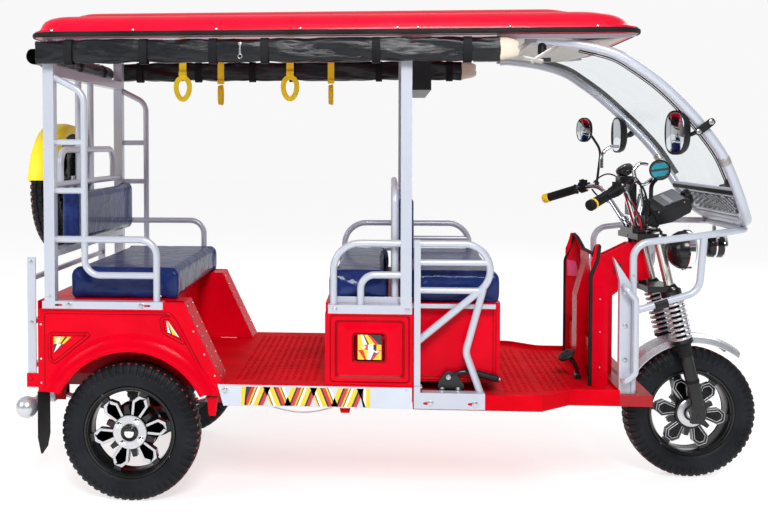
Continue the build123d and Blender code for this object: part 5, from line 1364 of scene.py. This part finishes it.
def fit_cables():
    """Free cables along smooth curves."""
    for name, (points, diameter, finish) in CABLES.items():
        diameter *= MM
        path = [STEER @ at(*point) for point in points]
        line = bpy.data.curves.new(name, "CURVE")
        line.dimensions = "3D"
        line.bevel_depth = diameter / 2
        line.bevel_resolution = 4
        line.resolution_u = 12
        spline = line.splines.new("NURBS")
        spline.points.add(len(path) - 1)
        for point, place in zip(spline.points, path):
            point.co = (*place, 1)
        spline.order_u = 3
        spline.use_endpoint_u = True
        line.materials.append(finish)
        piece = bpy.data.objects.new(name, line)
        bpy.context.collection.objects.link(piece)
        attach(piece, "steering")


def fit_lamps():
    """The bowl headlamp with its plate on the fork and the round lamp under the front bar."""
    lamp, nose = Shape(), Shape()
    finishes = [BLACK_PAINT, CHROME, SMOKED, STEEL]
    lamp.lathe(at(1946, -158, 890), (1, 0, -0.05), [(22, 0), (42, 6), (58, 20), (69, 38), (72, 56)], 40)
    lamp.lathe(at(2001, -158, 887.5), (1, 0, -0.05), [(72, 0), (76, 3), (76, 20), (72, 24)], 40, 1)
    lamp.lathe(at(2023, -158, 886.5), (1, 0, -0.05), [(71, 0), (62, 10), (36, 18), (4, 21)], 40, 2)
    plate = [(1948, 905), (2018, 908), (2022, 898), (2000, 886), (1972, 842), (1962, 842)]
    lamp.plate(-109, plate, -3, 3)
    for x, z in ((2008, 900), (1958, 894), (1970, 856)):
        lamp.lathe(at(x, -112.2, z), -LEFT, [(5, 0), (5, 1)], 16)
    lamp.bolt(at(1985, -112, 884), -LEFT)
    lamp.plate(109, plate, 3, 3)
    lamp.rod(at(1960, -112, 890), at(1962, -140, 886), 8)
    lamp.make("headlamp", "steering", finishes, "black_plastic", STEER, replaces=("headlamps",), angle=35)
    for x, profile, mark in ((2167, [(20, 0), (40, 3), (47, 12), (49, 30)], 0),
                             (2197, [(49, 0), (51.5, 2), (51.5, 7), (49, 9)], 1),
                             (2206, [(49, 0), (49, 22)], 0),
                             (2228, [(49, 0), (51.5, 3), (51.5, 12), (47, 16)], 1),
                             (2240, [(46, 0), (40, 3), (20, 5)], 2)):
        nose.lathe(at(x, 100, 885), AHEAD, profile, 40, mark)
    nose.slab(spots((2201, 86, 962), (2201, 114, 962), (2201, 114, 926), (2201, 86, 926)), (4, 0, 0))
    nose.bolt(at(2205, 100, 951), AHEAD, 5, 3)
    nose.make("nose_lamp_body", "body", finishes, "black_plastic", replaces=("nose_lamp",), angle=35)


# --- Fork, shield, guard and pedals ---------------------------------------------------------------
FORK_SLOPE = 0.2466
FORK_LEAN = Vector((-FORK_SLOPE, 0, 1)).normalized()
# What each fork leg carries: its height, profile, sides and finish
LEG_RINGS = [(746, [(18.2, 0), (18.2, 178)], 28, 1),
             (706, [(36, 0), (38.6, 3), (38.6, 24), (30, 30), (22, 46)], 28, 0),
             (532, [(30, -6), (38.8, 0), (38.8, 10), (34, 16)], 28, 0),
             (520, [(26, -30), (27, 0), (31, 6)], 28, 0),
             (480, [(25.6, 0), (26.6, 2), (26.6, 10), (25.6, 12)], 28, 0),
             (380, [(25.6, 0), (26.6, 2), (26.6, 10), (25.6, 12)], 28, 0),
             (944, [(19, 0), (19, 6), (12, 10)], 6, 1)]


def leg(sign, z):
    """The middle of a fork leg at a height."""
    return at(1933 + (908 - z) * FORK_SLOPE, sign * 98, z)


def fit_fork():
    """Polished stanchions, rubber collars, caps, pinch bolts and the coil springs."""
    legs, coils = Shape(), Shape()
    side = FORK_LEAN.cross(LEFT).normalized()
    across = FORK_LEAN.cross(side)
    turns, steps, tall = 8.5, 24, 162
    for sign in (-1, 1):
        for z, profile, sides, mark in LEG_RINGS:
            legs.lathe(leg(sign, z), FORK_LEAN, profile, sides, mark)
        for z in (735, 932):
            legs.bolt(leg(sign, z) + off(4, sign * 25.5, 0), (0, sign, 0), 6, 2)
        base = leg(sign, 548)
        line = []
        for step in range(int(turns * steps) + 1):
            angle = 2 * math.pi * step / steps
            rise = tall * step / (turns * steps)
            turned = side * math.cos(angle) + across * math.sin(angle)
            line.append(base + (FORK_LEAN * rise + turned * 36) * MM)
        coils.sweep(line, circle(5.2, 10))
        coils.lathe(base - FORK_LEAN * 10 * MM, FORK_LEAN, [(20, 0), (20, 180)], 20, 1)
    coils.make("fork_coils", "steering", [SATIN, BLACK_PAINT], "spring_steel", STEER,
               replaces=("fork_springs",), angle=60)
    legs.make("fork_dressing", "steering", [RUBBER, POLISHED, STEEL], "chrome", STEER, angle=35)


def fit_shield():
    """The leg shield's rubber trim, its glove-box lid, a pink patch and the head frame's plates."""
    trim, extra = Shape(), Shape()
    edge = [(1655, 265, 405), (1655, 265, 805), (1680, 257, 860), (1688, 249, 913), (1690, 180, 905),
            (1699, 90, 866)]
    path = [at(x, -y, z) for x, y, z in edge] + spots(*reversed(edge))
    trim.sweep(rounded(path, 12, 4), oval(6.5, 6.5, 3, 12))
    trim.make("leg_shield_trim", "body", [RUBBER], "rubber", angle=60)
    extra.slab(spots((1660, 251, 806), (1694, 244, 800), (1708, 241, 738), (1662, 251, 738)), (0, -0.8, 0), 1)
    for sign in (-1, 1):
        for z in (470, 600, 720):
            extra.dome(at(1690, sign * 259, z), (0.2, sign, 0), 3.4, 2)
        extra.slab([at(1668, sign * y, z)
                    for y, z in ((92, 450), (240, 450), (240, 560), (92, 560))], (1, 0, 0))
    extra.plate(-54, ((1782, 800), (1812, 806), (1810, 826), (1786, 822)), -3, 3)
    extra.make("leg_shield_dressing", "body", [RED, PINK, STEEL, BLACK_PAINT], "body_paint", bevel=0.3)


def fit_guard():
    """Rubber sleeves, bolts and gussets on the front guard."""
    guard = Shape()
    for sign in (-1, 1):
        guard.sweep(spots((1862, sign * 337, 708), (1908, sign * 334, 722)), oval(15.5, 15.5, 4, 16), 0, UP)
        for z in (520, 640, 760):
            guard.bolt(at(1757, sign * 359.4, z), (0, sign, 0), 5.5, 1)
        for x, y, z in ((2080, 336, 955), (1786, 358.2, 820)):
            guard.dome(at(x, sign * y, z), (0, sign, 0), 4.5, 1)
        guard.rod(at(2190, sign * 205, 968), at(2204, sign * 212, 1000), 8, mark=2)
        guard.bolt(at(2200, sign * 155, 1014), UP, 6, 1)
    guard.make("front_guard_fittings", "body", [BLACK_PLASTIC, STEEL, POWDER], "rubber", bevel=1)


def fit_controls():
    """The brake pedal on its arm and the hand brake with its ratchet."""
    shape = Shape()
    facing = Vector((-0.5, -0.2, 0.85)).normalized()
    pad = at(1590, -150, 492)
    shape.lathe(pad, facing, [(26, -9), (32, -6), (33, 0), (31, 3), (24, 4)], 32)
    for r in (8, 15, 22):
        shape.lathe(pad + facing * 3.6 * MM, facing,
                    [(r - 2.4, 0), (r - 1.6, 1.8), (r + 1, 1.8), (r + 1.8, 0)], 28)
    arm = upright(-150, ((1594, 486), (1616, 470), (1630, 440), (1632, 406)))
    shape.sweep(rounded(arm, 12, 6), oval(8, 5, 4, 14), 1)
    shape.lathe(at(1632, -166, 412), LEFT, [(12, 0), (12, 32)], 20, 1)
    shape.plate(-430, ((1094, 404), (1190, 404), (1188, 440), (1160, 478), (1128, 486), (1100, 452)), 16, 1)
    lever = upright(-422, ((1132, 462), (1180, 484), (1222, 480), (1309, 459)))
    shape.sweep(rounded(lever, 20, 6), circle(9, 14), 1)
    grip = [(11, 0), (13, 3)]
    for step in range(8):
        grip += [(13, 6 + step * 10), (12.2, 10 + step * 10)]
    shape.lathe(at(1218, -422, 481), (0.97, 0, -0.24), grip + [(12.6, 86), (8, 92)], 22)
    shape.lathe(at(1308, -422, 458.6), (0.97, 0, -0.24), [(5, 0), (5, 7), (3, 9)], 14, 2)
    for x, z in ((1112, 420), (1168, 420), (1134, 464)):
        shape.bolt(at(x, -430, z), -LEFT, 6, 2)
    shape.make("pedal_and_brake", "body", [BLACK_PLASTIC, BLACK_PAINT, STEEL], "black_metal", bevel=0.8,
               replaces=("driver_controls",), angle=40)


def fit_cover():
    """The spare wheel's moulded cover, over the upper tread and part of the rear face."""
    cover = Shape()
    section = [(-344, 214), (-342, 236), (-350, 249), (-372, 254.5), (-420, 254.5), (-441, 249),
               (-447.5, 236), (-447.5, 206), (-445, 206), (-444, 234), (-438, 246), (-420, 252), (-372, 252),
               (-352, 247), (-346, 235), (-347, 214)]
    rows = []
    for step, (c, s) in enumerate(arc(8, 164, 40)):
        wave = 1 + 0.0015 * math.sin(step * 1.7)
        rows.append([at(x, -c * r * wave, 1110 + s * r * wave) for x, r in section])
    cover.rows(rows)
    cover.make("spare_wheel_cover", "body", [LEMON], "strap", replaces=("spare_cover",), angle=50)


fit_wheels()
fit_seats()
fit_curtains()
fit_hand_straps()
fit_roof()
for side, sign in SIDES.items():
    fit_rear_body(side, sign)
for side, sign in SIDES.items():
    fit_bench(side, sign)
fit_under()
fit_floors()
fit_cover()
fit_screen()
fit_lower_screen()
for side, sign in SIDES.items():
    fit_screen_mirror(side, sign)
fit_bar_mirrors()
fit_grips()
fit_handlebar()
fit_console()
fit_cables()
fit_lamps()
fit_fork()
fit_shield()
fit_guard()
fit_controls()
stage()
finish_nodes()
